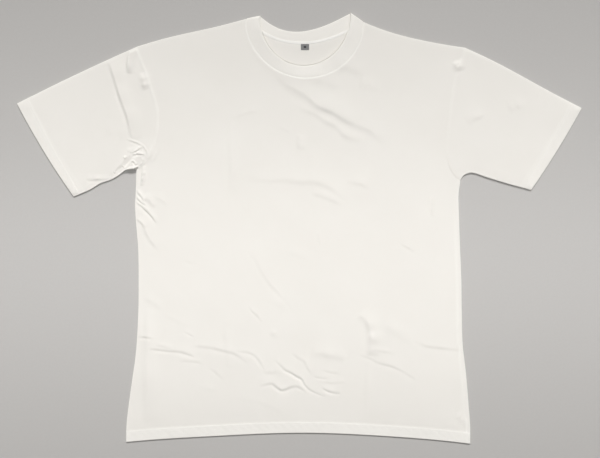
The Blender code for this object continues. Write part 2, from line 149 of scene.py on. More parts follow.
sleeveCuts = {
    "right": {
        "side": -1,
        "cuffTop": (-492.2, 218.2),
        "cuffUnder": (-393.4, 56.0),
        "foldBow": 1.6,
        "foldWave": 0.0,
        "cuffBow": 3.3,
        "underPoints": ((-293, 102.8), (-303.0, 101.6), (-311.0, 96.4), (-319, 90.4), (-330.0, 84.8),
                        (-347.2, 78.8), (-364.3, 68.4), (-383.1, 60.2)),
        "roll": 0.7,  # how much higher the rounded edges stand
        "lift": 6.6,  # and the lower one, near the armpit
        "topLines": 158,
        "alongPace": 1.45,
        "bunched": True,
    },
    "left": {
        "side": 1,
        "cuffTop": (490.6, 210.4),
        "cuffUnder": (402.5, 67.4),
        "foldBow": 1.4,
        "foldWave": 1.0,
        "cuffBow": 2.4,
        "underPoints": ((286, 93.0), (299.6, 97.4), (325.5, 89.4), (359.5, 79.0)),
        "roll": 0.9,
        "lift": 0.6,
        "topLines": 100,
        "alongPace": 1.9,
        "bunched": False,
    },
}

neckCut = {
    "seamEnds": ((-92.7, 365.8), (109.8, 360.6)),
    "freeEnds": ((-69.5, 370.0), (88.4, 375.2)),
}
frontSeam = neckLine(neckCut["seamEnds"], 100.4, 1.0)
frontFree = neckLine(neckCut["freeEnds"], 89.2, 0.95)
backSeam = neckLine(neckCut["seamEnds"], 39.4, 1.85, -9.0)
backFree = neckLine(neckCut["freeEnds"], 29.3, 2.2, -12.0)
hemLine = bowedLine(*bodyCut["hemEnds"], bodyCut["hemRise"], bodyCut["hemWave"], bodyCut["hemRipple"])


def wearer(side):
    return 0 if side < 0 else 1


def sideSeam(side):
    k = wearer(side)
    rows = [(side * row[1 + k], row[0]) for row in bodyCut["sideRows"]]
    return lineThrough([bodyCut["hemEnds"][k], *rows, bodyCut["armpits"][k]])


def armholeLine(side):
    k = wearer(side)
    return lineThrough([bodyCut["armpits"][k], *bodyCut["armholes"][k], bodyCut["shoulderTips"][k]])


def shoulderLine(side, neckEnd=None):
    k = wearer(side)
    neckEnd = neckCut["seamEnds"][k] if neckEnd is None else neckEnd
    bow, wave = -side * bodyCut["shoulderBows"][k], -side * bodyCut["shoulderWaves"][k]
    return bowedLine(bodyCut["shoulderTips"][k], neckEnd, bow, wave)


def sleeveLines(cut):
    side = cut["side"]
    k = wearer(side)
    tip, top = bodyCut["shoulderTips"][k], cut["cuffTop"]
    fold = bowedLine(tip, top, side * cut["foldBow"], side * cut["foldWave"])
    cuff = bowedLine(top, cut["cuffUnder"], side * cut["cuffBow"])
    under = lineThrough([bodyCut["armpits"][k], *cut["underPoints"], cut["cuffUnder"]])
    return fold, cuff, under


def sampled(line, step=6.0):
    return line(np.linspace(0, 1, max(3, round(lineLength(line) / step))))


def distanceTo(lines, places):
    # how far each place is from the nearest of the lines, which are rows of points
    starts = np.concatenate([line[:-1] for line in lines])
    spans = np.concatenate([np.diff(line, axis=0) for line in lines])
    squared = (spans ** 2).sum(axis=1)
    found = []
    for some in np.array_split(places, max(1, len(places) // 4000)):
        offset = some[:, None] - starts
        t = np.clip((offset * spans).sum(axis=2) / squared, 0, 1)
        found.append(np.sqrt(((offset - spans * t[..., None]) ** 2).sum(axis=2).min(axis=1)))
    return np.concatenate(found)


sideLines = [sampled(sideSeam(side), 3.0) for side in (-1, 1)]
shoulderLines = [sampled(shoulderLine(side), 3.0) for side in (-1, 1)]
armholeLines = [sampled(armholeLine(side), 3.0) for side in (-1, 1)]
hemEdge = [sampled(hemLine)]
sleeveEdges = [sampled(line) for cut in sleeveCuts.values() for line in sleeveLines(cut)]
outline = [*sideLines, *shoulderLines, *hemEdge, *sleeveEdges]
frontSeamLine, backSeamLine = [sampled(frontSeam, 3.0)], [sampled(backSeam, 3.0)]
ribEdgeLine = [sampled(frontFree, 2.0)]


# How the cloth lies

cloth = {
    "wall": 1.2,
    "foldedWall": 1.6,
    "frontTop": 2.7,  # height of the front's face at its edges
    "lowest": 0.15,
    "air": 3.0,  # how much higher it is away from them
    "airReach": 45.0,
    "creaseFade": 2.6,
    "waveHeight": 0.16,
    "sideLength": 600.0,  # of the rows of points up a side
    "bunchPlace": (-292.0, 118.0),
    "bunchHeight": 2.6,
}

# Creases. Each runs from its upper or left end, with its steep side on its lower left: height,
# the widths of the gentle and the steep side, the depth of the hollow at the steep side's foot
creaseRows = [
    # across the chest
    ([(-49, 266), (-34, 257), (-17, 245), (-1, 236), (13, 227), (27, 214), (45, 206), (60, 199),
      (78, 188), (96, 180), (120, 169), (139, 154), (153, 145)], 1.6, 30, 6.5, 0.2),
    ([(14, 226), (28, 213), (46, 205), (61, 198), (79, 187), (97, 179)], 1.3, 22, 5.6, 0.1),
    ([(-4, 211), (10, 205), (27, 198), (46, 185), (60, 178), (77, 161), (93, 154), (110, 151)],
     1.15, 13, 5.4, 0),
    ([(60, 283), (84, 277), (114, 266)], 1.1, 15, 8, 0),
    ([(10, 262), (40, 252), (74, 244)], 0.85, 15, 8, 0),
    ([(102, 249), (120, 245), (138, 240)], 0.75, 12, 7, 0),
    ([(-4, 164), (-3, 151), (-2, 137)], 0.8, 9, 5, 0),
    ([(-38, 177), (-26, 172), (-14, 165)], 0.3, 6, 3.5, 0),
    ([(-120, 190), (-92, 200), (-65, 205)], 0.45, 8, 3, 0),
    # under it
    ([(-96, 86), (-54, 82), (-24, 84), (-1, 80), (25, 80), (42, 75), (56, 67), (73, 55), (90, 43)],
     0.85, 14, 5.2, 0),
    ([(18, 60), (35, 57), (51, 51), (76, 40)], 0.8, 10, 4.2, 0),
    ([(83, 81), (103, 78), (121, 71)], 0.7, 8, 3.2, 0.15),
    ([(-122, 186), (-121, 120), (-122, 60)], 1.4, 10, 5, 0),
    # down the belly
    ([(-92, -27), (-85, -44), (-76, -55), (-66, -76), (-54, -94), (-41, -108), (-31, -119),
      (-22, -126), (-10, -147)], 0.4, 9, 2.6, 0.15),
    ([(-87, -134), (-83, -143), (-75, -150), (-65, -162)], 0.38, 7, 1.7, 0.4),
    ([(-32, -36), (-6, -45), (19, -56)], 0.45, 8, 4, 0),
    ([(-57, -123), (-42, -131), (-27, -140)], 0.5, 10, 6, 0),
    ([(30, -7), (33, -18), (35, -29)], 0.35, 6, 2.6, 0.15),
    ([(-54, -178), (-47, -184), (-39, -191)], 0.65, 9, 4.2, 0),
    ([(-205, -53), (-194, -57), (-182, -60)], 0.15, 6, 2.4, 0.15),
    ([(174, -25), (188, -33), (201, -41)], 0.4, 7, 2.2, 0.3),
    # above the hem, in the middle
    ([(-44, -227), (-33, -237), (-25, -245), (-16, -249), (-5, -256), (4, -261), (9, -270),
      (18, -279), (30, -285), (46, -291)], 0.5, 9, 1.8, 0.75),
    ([(-69, -273), (-48, -269), (-40, -275), (-31, -280), (-15, -275), (-4, -274), (11, -282)],
     0.8, 8, 2.1, 0.6),
    ([(-15, -213), (-2, -225), (7, -230), (13, -241), (22, -254)], 0.3, 7, 2.3, 0.15),
    ([(39, -276), (53, -283), (72, -286)], 0.48, 6, 1.7, 0.7),
    ([(20, -218), (50, -222), (81, -228)], 1.15, 13, 7, 0),
    ([(40, -245), (53, -249), (69, -251)], 0.15, 6, 1.9, 0.3),
    ([(25, -257), (36, -259), (48, -260)], 0.12, 5, 1.4, 0.4),
    ([(37, -265), (58, -268), (81, -266)], 0.25, 7, 2.2, 0.15),
    ([(-65, -249), (-49, -250), (-33, -248)], 0.3, 8, 3.0, 0.25),
    # low down, on the wearer's right
    ([(-262, -208), (-229, -212), (-207, -214), (-182, -222)], 0.6, 9, 1.9, 0.6),
    ([(-252, -202), (-236, -205), (-220, -210)], 0.35, 6, 1.9, 0.1),
    ([(-186, -203), (-153, -207), (-131, -212), (-113, -217), (-89, -233)], 0.48, 9, 2.6, 0.4),
    ([(-109, -212), (-87, -215), (-75, -223), (-60, -245)], 0.22, 7, 2.1, 0.55),
    ([(-212, -230), (-190, -230), (-167, -234)], 0.25, 5, 1.9, 0.2),
    ([(-156, -241), (-145, -250), (-132, -263)], 0.16, 6, 2.2, 0.2),
    ([(-290, -190), (-272, -188), (-255, -190)], 0.38, 5, 1.9, 0.55),
    ([(-272, -122), (-256, -130), (-240, -142)], 0.65, 11, 5, 0),
    ([(-240, -149), (-216, -160), (-191, -172)], 0.2, 6, 3.5, 0),
    ([(-202, -178), (-194, -182), (-184, -187)], 0.16, 4, 1.5, 0.25),
    ([(-268, -140), (-270, -230), (-271, -335)], 2.6, 16, 7, 0),
    ([(-133, -157), (-129, -205), (-126, -243)], 0.65, 9, 5, 0),
    ([(-120, -295), (-80, -300), (-47, -312), (-22, -325)], 0.18, 7, 4, 0),
    ([(-175, -276), (-158, -280), (-141, -283)], 0.3, 7, 3.6, 0),
    # low down, on the wearer's left
    ([(101, -152), (116, -164), (121, -187), (119, -220)], 2.8, 16, 5.5, 0.1),
    ([(118, -222), (114, -270), (115, -323)], 0.4, 8, 5, 0),
    ([(103, -219), (121, -224), (138, -233), (161, -239), (180, -248), (203, -263)], 0.4, 10, 2.2, 0.3),
    ([(198, -194), (220, -204), (248, -208), (286, -212)], 0.52, 10, 2.7, 0.2),
    ([(136, -165), (178, -190), (202, -211)], 0.7, 14, 8, 0),
    ([(130, -209), (147, -214), (164, -216)], 0.25, 6, 2.4, 0.15),
    ([(270, -324), (281, -335), (290, -346)], 0.8, 10, 6, 0),
    # the side under the wearer's right arm
    ([(-285, 66), (-277, 57), (-270, 46)], 1.6, 4.5, 1.6, 0.7),
    ([(-287, 62), (-282, 52), (-274, 45), (-268, 41)], 1.5, 4, 1.5, 0.8),
    ([(-288, 50), (-282, 44), (-275, 39), (-271, 35), (-258, 22), (-249, 9)], 1.3, 6, 1.7, 1.0),
    ([(-272, 56), (-261, 46), (-255, 37)], 1.55, 8, 3.6, 0.1),
    ([(-258, 59), (-243, 50), (-229, 40)], 0.7, 7, 3.6, 0.1),
    ([(-286, 18), (-274, 8), (-268, -8), (-259, -23), (-245, -38)], 0.85, 10, 2.8, 0.35),
    ([(-285, 17), (-276, 9), (-271, 1)], 0.85, 5, 1.6, 0.5),
    ([(-268, 123), (-260, 122), (-251, 118)], 0.8, 14, 8, 0),
    # the sleeve on that side
    ([(-333, 291), (-322, 257), (-311, 222), (-301, 195), (-295, 168), (-291, 154)],
     2.7, 16, 2.7, 0.5),
    ([(-290, 316), (-297, 304), (-300, 291), (-300, 270)], 3.4, 8, 2.2, 0.3),
    ([(-278, 270), (-275, 255), (-272, 241)], 2.2, 9, 4.5, 0),
    ([(-372, 86), (-346, 85), (-325, 83)], 0.75, 6, 2.2, 0.7),
    ([(-338, 190), (-336, 175), (-330, 158)], 0.5, 9, 6, 0),
    ([(-318, 173), (-311, 160), (-306, 152)], 0.35, 8, 5, 0),
    # the other side's sleeve and seam
    ([(228, 57), (228, 40), (228, 22)], 1.2, 5, 2.4, 0.2),
    ([(292, 182), (307, 191), (323, 198)], 0.9, 12, 4.6, 0),
    ([(364, 203), (379, 210), (394, 215)], 0.75, 12, 6, 0),
    ([(267, 290), (270, 282), (272, 274)], 2.4, 10, 5, 0),
]

# Sharp small folds where the sleeve's cloth is pushed together at the armpit: each as above,
# but with flat faces and a narrow crest; the height below zero is a valley
bunchRows = [
    ([(-301, 155), (-291, 151.5), (-281.6, 148), (-273, 142.5), (-267.7, 135.4), (-266, 128)],
     0.9, 3.5, 1.6, 0.3),
    ([(-294, 131), (-284, 134.5), (-277.5, 139.2), (-272.5, 142.5)], 1.7, 4, 1.6, 0.3),
    ([(-291, 127), (-281, 129.5), (-269, 128)], 1.5, 4.5, 1.5, 0.3),
    ([(-299, 132), (-289, 136), (-282, 137)], 0.8, 4.5, 4.0, 0.2),
    ([(-326.5, 83.5), (-308.5, 99.5), (-293.5, 117), (-284.5, 127)], -3.2, 7.0, 4.5, 0),
    ([(-324, 100), (-321, 93)], 1.6, 2.4, 1.8, 0),
    ([(-317, 103), (-315, 95)], 1.6, 2.4, 1.8, 0),
    ([(-309, 110), (-305, 104)], 1.4, 2.8, 1.6, 0),
    ([(-294, 117), (-289, 115.5), (-286.5, 112), (-287.5, 104), (-286.5, 97)], 2.2, 3.2, 1.4, 0.4),
    ([(-292, 113), (-290, 105)], 1.4, 3, 1.4, 0.2),
    ([(-274.5, 124), (-275.5, 116), (-279, 110)], 1.2, 4, 1.6, 0.2),
    ([(-274, 110), (-275, 95), (-278, 75)], 2.6, 6, 2.2, 0.2),
    ([(-308, 124), (-303, 120)], 1.2, 4, 3, 0),
]

# The back's own creases, which show from below as shallow hollows
backCreaseRows = [
    ([(-210, 210), (-120, 180), (-40, 172)], 0.8, 10, 6, 0),
    ([(60, 230), (130, 190), (205, 178)], 0.8, 9, 6, 0),
    ([(-150, 60), (-60, 40), (10, 48)], 0.6, 9, 5, 0),
    ([(40, 20), (110, -20), (150, -60)], 0.7, 8, 5, 0),
    ([(-230, -60), (-190, -110), (-150, -140)], 0.8, 8, 5, 0),
    ([(-60, -90), (-20, -130), (0, -180)], 0.7, 8, 5, 0),
    ([(-240, -200), (-170, -215), (-110, -214)], 0.9, 9, 5, 0),
    ([(-90, -236), (-30, -262), (30, -270)], 0.9, 9, 5, 0),
    ([(60, -214), (130, -232), (190, -258)], 0.9, 9, 5, 0),
    ([(180, -150), (215, -180), (250, -190)], 0.6, 8, 5, 0),
    ([(-235, 90), (-200, 60), (-180, 30)], 0.7, 8, 5, 0),
    ([(190, 100), (215, 60), (225, 20)], 0.7, 8, 5, 0),
]


def settledCrease(row):
    points, height, gentle, steep, foot = row
    line = lineThrough(points)
    length = lineLength(line)
    shares = np.linspace(0, 1, max(6, round(length / 1.5)))
    samples = line(shares)
    ways = np.gradient(samples, axis=0)
    ways /= np.hypot(*ways.T)[:, None]
    return samples, ways, shares, length, height, gentle, steep, foot


creases = [settledCrease(row) for row in creaseRows]
bunch = [settledCrease(row) for row in bunchRows]
bunchLines = [samples for samples, *_ in bunch]
sharpLines = [sampled(lineThrough(row[0]), 4.0) for row in creaseRows if row[3] <= 3.0]
softLines = [sampled(lineThrough(row[0]), 5.0) for row in creaseRows if row[3] > 3.0]
backCreases = [settledCrease(row) for row in backCreaseRows]


def creaseHeight(places, rows, facets=False):
    total = np.zeros(len(places))
    for number, (samples, ways, shares, length, height, gentle, steep, foot) in enumerate(rows):
        reach = 3 * max(gentle, steep)
        lowest, highest = samples.min(axis=0) - reach, samples.max(axis=0) + reach
        inside = ((places > lowest) & (places < highest)).all(axis=1)
        near = np.flatnonzero(inside)
        if not len(near):
            continue
        offset = places[near][:, None] - samples
        nearest = (offset ** 2).sum(axis=2).argmin(axis=1)
        offset = offset[np.arange(len(near)), nearest]
        way = ways[nearest]
        off = way[:, 0] * offset[:, 1] - way[:, 1] * offset[:, 0]  # positive on the gentle side
        past = np.hypot(*offset.T) - np.abs(off)
        share = np.clip(shares[nearest] + (offset * way).sum(axis=1) / length, 0, 1)
        crest = 0.7 * steep  # so that the steepest place is on the line
        width = np.where(off > crest, gentle, steep)
        uneven = 1 + 0.2 * np.sin(2 * np.pi * (share * (1.3 + number % 3) + 0.37 * number))
        fade = np.sin(np.pi * share) ** 0.7 * hump(past, 4) * uneven
        hollow = foot * hump(off + 1.5 * steep, 1.1 * steep)
        climb = ((off - crest) / width) ** 2
        rise = np.maximum(0, 1.05 - np.sqrt(climb + 0.012)) if facets else np.exp(-climb)
        total[near] += fade * (height * rise - hollow)
    return total


def softWaves(places):
    # the slight unevenness of cloth that was folded and smoothed by hand
    x, y = places.T
    bent = 9 * np.sin(x / 83 + 1.1) + 7 * np.sin(y / 61 + 0.3)
    waves = np.sin(x / 31 + (y + bent) / 67 + 0.6) + 0.8 * np.sin((x + bent) / 17 - y / 29 + 2.1)
    waves += 0.9 * np.sin((y - bent) / 14 + x / 41 + 1.2) + 0.5 * np.sin(x / 9.1 + (y + bent) / 11.3)
    patches = 0.6 + 0.4 * np.sin(x / 57 + 2.3) * np.sin(y / 49 + 0.7)  # stronger in some places
    return cloth["waveHeight"] * waves * patches


def bunchBase(places):
    # the whole bunch stands higher than the cloth round it
    x, y = (places - cloth["bunchPlace"]).T
    along, across = (x + y) * 0.707, (y - x) * 0.707
    return cloth["bunchHeight"] * np.exp(-((along / 26) ** 2) - (across / 13) ** 2)


def upperCloth(places):
    away = distanceTo(outline, places)
    air = cloth["air"] * (1 - np.exp(-away / cloth["airReach"]))
    folds = creaseHeight(places, creases) + creaseHeight(places, bunch, True) + softWaves(places)
    folds += bunchBase(places)
    lying = cloth["frontTop"] + air + folds * np.clip(away / cloth["creaseFade"], 0, 1)
    return np.maximum(lying, cloth["frontTop"] - 0.1), away


def depthInHem(places):
    ends = np.array(bodyCut["hemEnds"])
    share = np.clip((places[:, 0] - ends[0, 0]) / (ends[1, 0] - ends[0, 0]), 0, 1)
    return places[:, 1] - hemLine(share)[:, 1]


# The rows of stitches
stitching = {
    "length": 2.5,
    "gap": 0.6,
    "thread": 0.42,
    "height": 0.34,
    "segments": 8,
    "rings": 5,
    "pull": 0.12,  # how deep a row of stitches sinks the cloth
    "above": 0.06,  # the cloth, for the middle of the thread
    "underneath": 0.17,
}


# Making sheets

def deselectAll():
    bpy.ops.object.select_all(action="DESELECT")


def editWhole(made, *steps):
    # selects the whole of one piece's mesh and takes the steps in edit mode
    deselectAll()
    made.select_set(True)
    bpy.context.view_layer.objects.active = made
    bpy.ops.object.mode_set(mode="EDIT")
    bpy.ops.mesh.select_all(action="SELECT")
    for step in steps:
        step()
    bpy.ops.object.mode_set(mode="OBJECT")


def mergeDoubles():
    bpy.ops.mesh.remove_doubles(threshold=0.000002)


def agreeNormals():
    bpy.ops.mesh.normals_make_consistent(inside=False)


def makeTriangles():
    bpy.ops.mesh.quads_convert_to_tris(quad_method="BEAUTY", ngon_method="BEAUTY")


def readAll(items, what, width=1, kind=np.float32):
    # a number, or a row of them, for each of a mesh's points, edges, faces or corners
    values = np.empty(len(items) * width, kind)
    items.foreach_get(what, values)
    return values.reshape(-1, width) if width > 1 else values


def gridSheet(name, places, clothMap):
    # a flat grid whose points are moved to the rows of places, with a cloth map in metres
    rows, columns = places.shape[:2]
    deselectAll()
    bpy.ops.mesh.primitive_grid_add(x_subdivisions=columns - 1, y_subdivisions=rows - 1, size=1)
    sheet = bpy.context.object
    sheet.name = sheet.data.name = name
    sheet.data.vertices.foreach_set("co", (places * mm).astype(np.float32).ravel())
    corners = readAll(sheet.data.loops, "vertex_index", kind=np.int32)
    cloths = (clothMap.reshape(-1, 2)[corners] * mm).astype(np.float32)
    sheet.data.uv_layers[0].name = "clothMap"
    sheet.data.uv_layers[0].data.foreach_set("uv", cloths.ravel())
    sheet.data.update()
    return sheet


def joinedSheet(name, sheets, up=True):
    # joins grids along their shared edges and turns all faces one way
    deselectAll()
    for sheet in sheets:
        sheet.select_set(True)
    bpy.context.view_layer.objects.active = sheets[0]
    if len(sheets) > 1:
        bpy.ops.object.join()
    made = bpy.context.object
    made.name = made.data.name = name
    editWhole(made, mergeDoubles, agreeNormals)
    if up and readAll(made.data.polygons, "normal", 3)[:, 2].sum() < 0:
        editWhole(made, bpy.ops.mesh.flip_normals)
    return made


def facesPointOut(made, middleAt):
    # turns a tube's faces away from its middle, whose height may depend on theirs
    normals, centres = [readAll(made.data.polygons, what, 3)[:, 2] for what in ("normal", "center")]
    if (normals * (centres / mm - middleAt(centres / mm))).sum() < 0:
        editWhole(made, bpy.ops.mesh.flip_normals)


def meshPlaces(made):
    return readAll(made.data.vertices, "co", 3).astype(float) / mm


def setPlaces(made, places):
    made.data.vertices.foreach_set("co", (places * mm).astype(np.float32).ravel())
    made.data.update()


def markDoubledAndRimHighlight(made, amounts):
    # how much whiter the cloth is, 0 to 1, for its colour: where it is turned up or a seam's edges lie under
    # it, and a painted highlight along some outer edges
    doubledAndRimHighlight = made.data.attributes.new("doubledAndRimHighlight", "FLOAT", "POINT")
    doubledAndRimHighlight.data.foreach_set("value", np.clip(amounts, 0, 1).astype(np.float32))


def refined(made, wanted, rounds):
    # splits the faces in four where they are larger than wanted says, read at their middles
    bpy.context.tool_settings.mesh_select_mode = (False, False, True)
    for _ in range(rounds):
        faces = made.data.polygons
        sizes = np.sqrt(readAll(faces, "area")) / mm
        limits = wanted(readAll(faces, "center", 3).astype(float) / mm)
        for part in (made.data.vertices, made.data.edges):
            part.foreach_set("select", np.zeros(len(part), bool))
        faces.foreach_set("select", sizes > 1.3 * limits)
        bpy.ops.object.mode_set(mode="EDIT")
        bpy.ops.mesh.subdivide(number_cuts=1)
        bpy.ops.object.mode_set(mode="OBJECT")
    editWhole(made, makeTriangles)
    return made


def rimPoints(made):
    # which points lie on the sheet's open edges
    ends = readAll(made.data.edges, "vertices", 2, np.int32)
    faces = np.bincount(readAll(made.data.loops, "edge_index", kind=np.int32), minlength=len(ends))
    rim = np.zeros(len(made.data.vertices), bool)
    rim[ends[faces == 1].ravel()] = True
    return rim


def closedCloth(made, wall, foldedWall=None, folded=None):
    # gives the sheet its thickness, downwards or inwards, and more where it is turned up
    solid = made.modifiers.new("wall", "SOLIDIFY")
    solid.offset = -1
    solid.thickness = (foldedWall or wall) * mm
    if folded is not None:
        group = made.vertex_groups.new(name="turnedUp")
        for weight in (0.25, 0.5, 0.75, 1.0):
            chosen = np.flatnonzero(np.abs(folded - weight) <= 0.125)
            group.add([int(i) for i in chosen], weight, "REPLACE")
        solid.vertex_group = group.name
        solid.thickness_vertex_group = wall / foldedWall
    bpy.context.view_layer.objects.active = made
    bpy.ops.object.modifier_apply(modifier=solid.name)
    made.vertex_groups.clear()
    places = meshPlaces(made)
    places[:, 2] = np.maximum(places[:, 2], cloth["lowest"])
    setPlaces(made, places)
    deselectAll()
    made.select_set(True)
    bpy.ops.object.shade_smooth_by_angle(angle=math.radians(55))
    return made


def fillPatch(bottom, top, right, left):
    # rows of places between four edges: bottom and top run right to left, the sides run up
    across = np.hypot(*np.diff(bottom, axis=0).T)
    u = (np.concatenate([[0], np.cumsum(across)]) / across.sum())[None, :, None]
    along = np.hypot(*np.diff(right, axis=0).T)
    v = np.concatenate([[0], np.cumsum(along)]) / along.sum()
    v = (v * v * (3 - 2 * v))[:, None, None]
    corners = (bottom[0] * (1 - u) + bottom[-1] * u) * (1 - v) + (top[0] * (1 - u) + top[-1] * u) * v
    edges = bottom[None] * (1 - v) + top[None] * v
    return edges + right[:, None] * (1 - u) + left[:, None] * u - corners


def chained(*stretches):
    return np.concatenate([stretches[0], *[stretch[1:] for stretch in stretches[1:]]])


def stretchOf(line, start, end, marks):
    return line(start + (end - start) * np.asarray(marks))


# The front

frontPanel = {
    "edgeMarks": [0.0, 0.25, 0.7, 1.3, 2.3, 4.2],  # close rows of points along the edges
    "halfWidth": 240.0,
    "columnPaces": [(0, 5.0), (240, 5.2)],
    "neckColumns": 32,
    "rowPaces": [(0, 4.6), (30, 4.8), (60, 5.2), (620, 5.2)],
    "shoulderDepth": 118.0,
    "shoulderPaces": [(0, 5.0), (120, 5.0)],
    "armholeSplit": 0.56,
    "neckQuarter": 0.25,
    "edgeRound": 1.3,
    "edgeFoot": 1.2,
    "cornerFoot": 0.6,  # more of it at the hem's corners
    "hemBase": 3.1,
    "hemBlend": (22, 50),
    "hemStep": 0.45,
    "hemRound": 1.1,
    "hemFoot": 2.2,
    "seamBand": 0.3,
    "seamGroove": 0.2,
    "neckRidge": 0.5,
    "neckShows": (-330, -285),  # it is plainest under the neck
    "seamInset": 6.5,  # the side seam that rolled to the front, on the wearer's left
    "insetSeamFade": (-60, 60),
    "fineSpacing": 1.3,
    "bunchSpacing": 0.65,
}
insetSeamLine = [sampled(lineBeside(sideSeam(1), frontPanel["seamInset"]), 4.0)]


def frontPlan():
    split, quarter = frontPanel["armholeSplit"], frontPanel["neckQuarter"]
    seam = lineBeside(frontSeam, -0.05)
    corners = [seam(quarter), seam(1 - quarter)]
    levels = [bowedLine(armholeLine(side)(split), corners[wearer(side)]) for side in (-1, 1)]
    hemShares = [(corner[0] - hemLine(0)[0]) / (hemLine(1)[0] - hemLine(0)[0]) for corner in corners]
    edge = frontPanel["edgeMarks"]
    marks = pacedMarks(frontPanel["halfWidth"], edge, frontPanel["columnPaces"])[:-len(edge) + 1]
    marks = marks / marks[-1]  # close steps at the side seam only
    middle = np.linspace(0, 1, frontPanel["neckColumns"] + 1)
    bottom = chained(
        stretchOf(hemLine, 0, hemShares[0], marks),
        stretchOf(hemLine, hemShares[0], hemShares[1], middle),
        stretchOf(hemLine, 1, hemShares[1], marks)[::-1],
    )
    top = chained(
        levels[0](marks),
        stretchOf(seam, quarter, 1 - quarter, middle),
        levels[1](marks)[::-1],
    )
    sides = []
    for side in (-1, 1):
        lower = lineLength(sideSeam(side))
        upper = lineLength(armholeLine(side)) * split
        rows = pacedMarks(cloth["sideLength"], edge, frontPanel["rowPaces"]) * (lower + upper)
        rows[np.abs(rows - lower).argmin()] = lower  # one row meets the armpit
        below = rows < lower
        sides.append(np.concatenate([
            sideSeam(side)(rows[below] / lower),
            armholeLine(side)((rows[~below] - lower) / upper * split),
        ]))
    plans = [fillPatch(bottom, top, *sides)]
    lobeMarks = pacedMarks(frontPanel["shoulderDepth"], edge, frontPanel["shoulderPaces"])[len(edge) - 1:]
    lobeMarks = (lobeMarks - lobeMarks[0]) / (1 - lobeMarks[0])
    for side in (-1, 1):
        k = wearer(side)
        tipToNeck = shoulderLine(side, seam(k))
        neckStart = 1 - quarter if k else quarter
        plans.append(fillPatch(
            levels[k](marks),
            tipToNeck(marks),
            stretchOf(armholeLine(side), split, 1, lobeMarks),
            stretchOf(seam, neckStart, k, lobeMarks),
        ))
    return plans


def roundedEdge(top, distance, radius, foot, rim):
    # how high the cloth is near an edge that it turns down at
    near = np.clip(distance, 0, radius)
    turned = top - radius + np.sqrt(np.maximum(radius ** 2 - (radius - near) ** 2, 0))
    return np.where(rim, foot, turned)


def seamStrength(places):
    # how plainly the armhole seams show: less on the wearer's left and towards the armpits
    x, y = places.T
    low = smoothRise(y, 90, 215)
    uneven = 0.85 + 0.15 * np.sin(y / 7.3) * np.sin(y / 19.0 + 1)
    return np.where(x < 0, 0.25 + 0.75 * low, 0.55 * low) * uneven


def frontHeights(places, rim=False):
    panel = frontPanel
    top, _ = upperCloth(places)
    hem = depthInHem(places)
    rise = 1 - smoothRise(hem, *panel["hemBlend"])
    base = cloth["frontTop"] + (panel["hemBase"] - cloth["frontTop"]) * rise
    top = (top + base + np.sqrt((top - base) ** 2 + 0.3)) / 2  # the higher of the two, blended
    inHem = 1 - smoothRise(hem, bodyCut["hemDepth"] - 0.7, bodyCut["hemDepth"] + 1.9)
    pucker = np.sin(places[:, 0] / 2.3 + hem * 0.5) * 0.07 + np.sin(places[:, 0] / 5.1 + 1) * 0.09
    top += panel["hemStep"] * inHem + pucker * hump(hem - 13, 8)
    for depth in bodyCut["hemStitches"]:
        top -= stitching["pull"] * hump(hem - depth, 0.9)
    armhole = distanceTo(armholeLines, places)
    band = panel["seamBand"] * hump(armhole, 2.2) - panel["seamGroove"] * hump(armhole, 0.9)
    top += band * seamStrength(places)
    neck = distanceTo(frontSeamLine, places)
    ridge = np.where(neck < 2.4, smoothRise(neck, -0.6, 2.4), hump(neck - 2.4, 6.5))
    showing = 0.15 + 0.85 * smoothRise(-places[:, 1], *panel["neckShows"])
    top += panel["neckRidge"] * (ridge - 1) * showing
    seam = distanceTo(insetSeamLine, places)
    low = smoothRise(-places[:, 1], *panel["insetSeamFade"])
    top += (0.45 * hump(seam - 1.0, 1.5) - 0.35 * hump(seam, 0.8)) * low
    edges = np.minimum(distanceTo(sideLines, places), distanceTo(shoulderLines, places))
    onSide = rim & (edges < 0.5)
    foot = panel["edgeFoot"] + panel["cornerFoot"] * (hem < 22)
    turned = roundedEdge(top, edges, panel["edgeRound"], foot, onSide)
    top = np.where(edges < panel["edgeRound"], turned, top)
    turned = roundedEdge(top, hem, panel["hemRound"], panel["hemFoot"], rim)
    return np.where((hem < panel["hemRound"]) & ~onSide, np.minimum(turned, top), top)


def frontFineness(middles):
    # the spacing that the cloth needs at each place
    places = middles[:, :2]
    sharp, soft = distanceTo(sharpLines, places), distanceTo(softLines, places)
    seams = np.minimum(distanceTo(armholeLines, places), distanceTo(frontSeamLine, places))
    hem = depthInHem(places)
    bunched = distanceTo(bunchLines, places)
    atBunch = np.hypot(*(places - cloth["bunchPlace"]).T) < 52
    middling = (sharp < 9) | (soft < 8) | (seams < 6) | (hem < 26)
    fine = (sharp < 3.8) | (seams < 2.4) | (np.abs(hem - 18.4) < 2.4) | atBunch
    spacing = frontPanel["fineSpacing"]
    limits = np.where(fine, spacing, np.where(middling, 2 * spacing, 4 * spacing))
    return np.where((bunched < 5) & (middles[:, 0] > -292), frontPanel["bunchSpacing"], limits)


def frontDoubledAndRimHighlight(places):
    # how strong, beside which lines, and how far out it is full and ends
    patchy = 0.75 + 0.25 * np.sin(places[:, 1] / 11 + 1) * np.sin(places[:, 1] / 4.7)
    # whiter where the hem is turned up and seam allowances lie under the cloth; along the side and shoulder
    # edges it is partly a painted highlight
    amounts = [1 - smoothRise(depthInHem(places), 18.4, 20.2)]
    for strength, lines, full, end in (
        (0.9 * seamStrength(places), armholeLines, 0.8, 2.2),
        (0.9 * patchy, sideLines, 1.4, 3.4),
        (0.5, shoulderLines, 2.5, 9),
        (1.0, frontSeamLine, 2.0, 4.4),
        (smoothRise(-places[:, 1], *frontPanel["insetSeamFade"]), insetSeamLine, 0.8, 2.4),
    ):
        amounts.append(strength * (1 - smoothRise(distanceTo(lines, places), full, end)))
    return np.maximum.reduce(amounts)


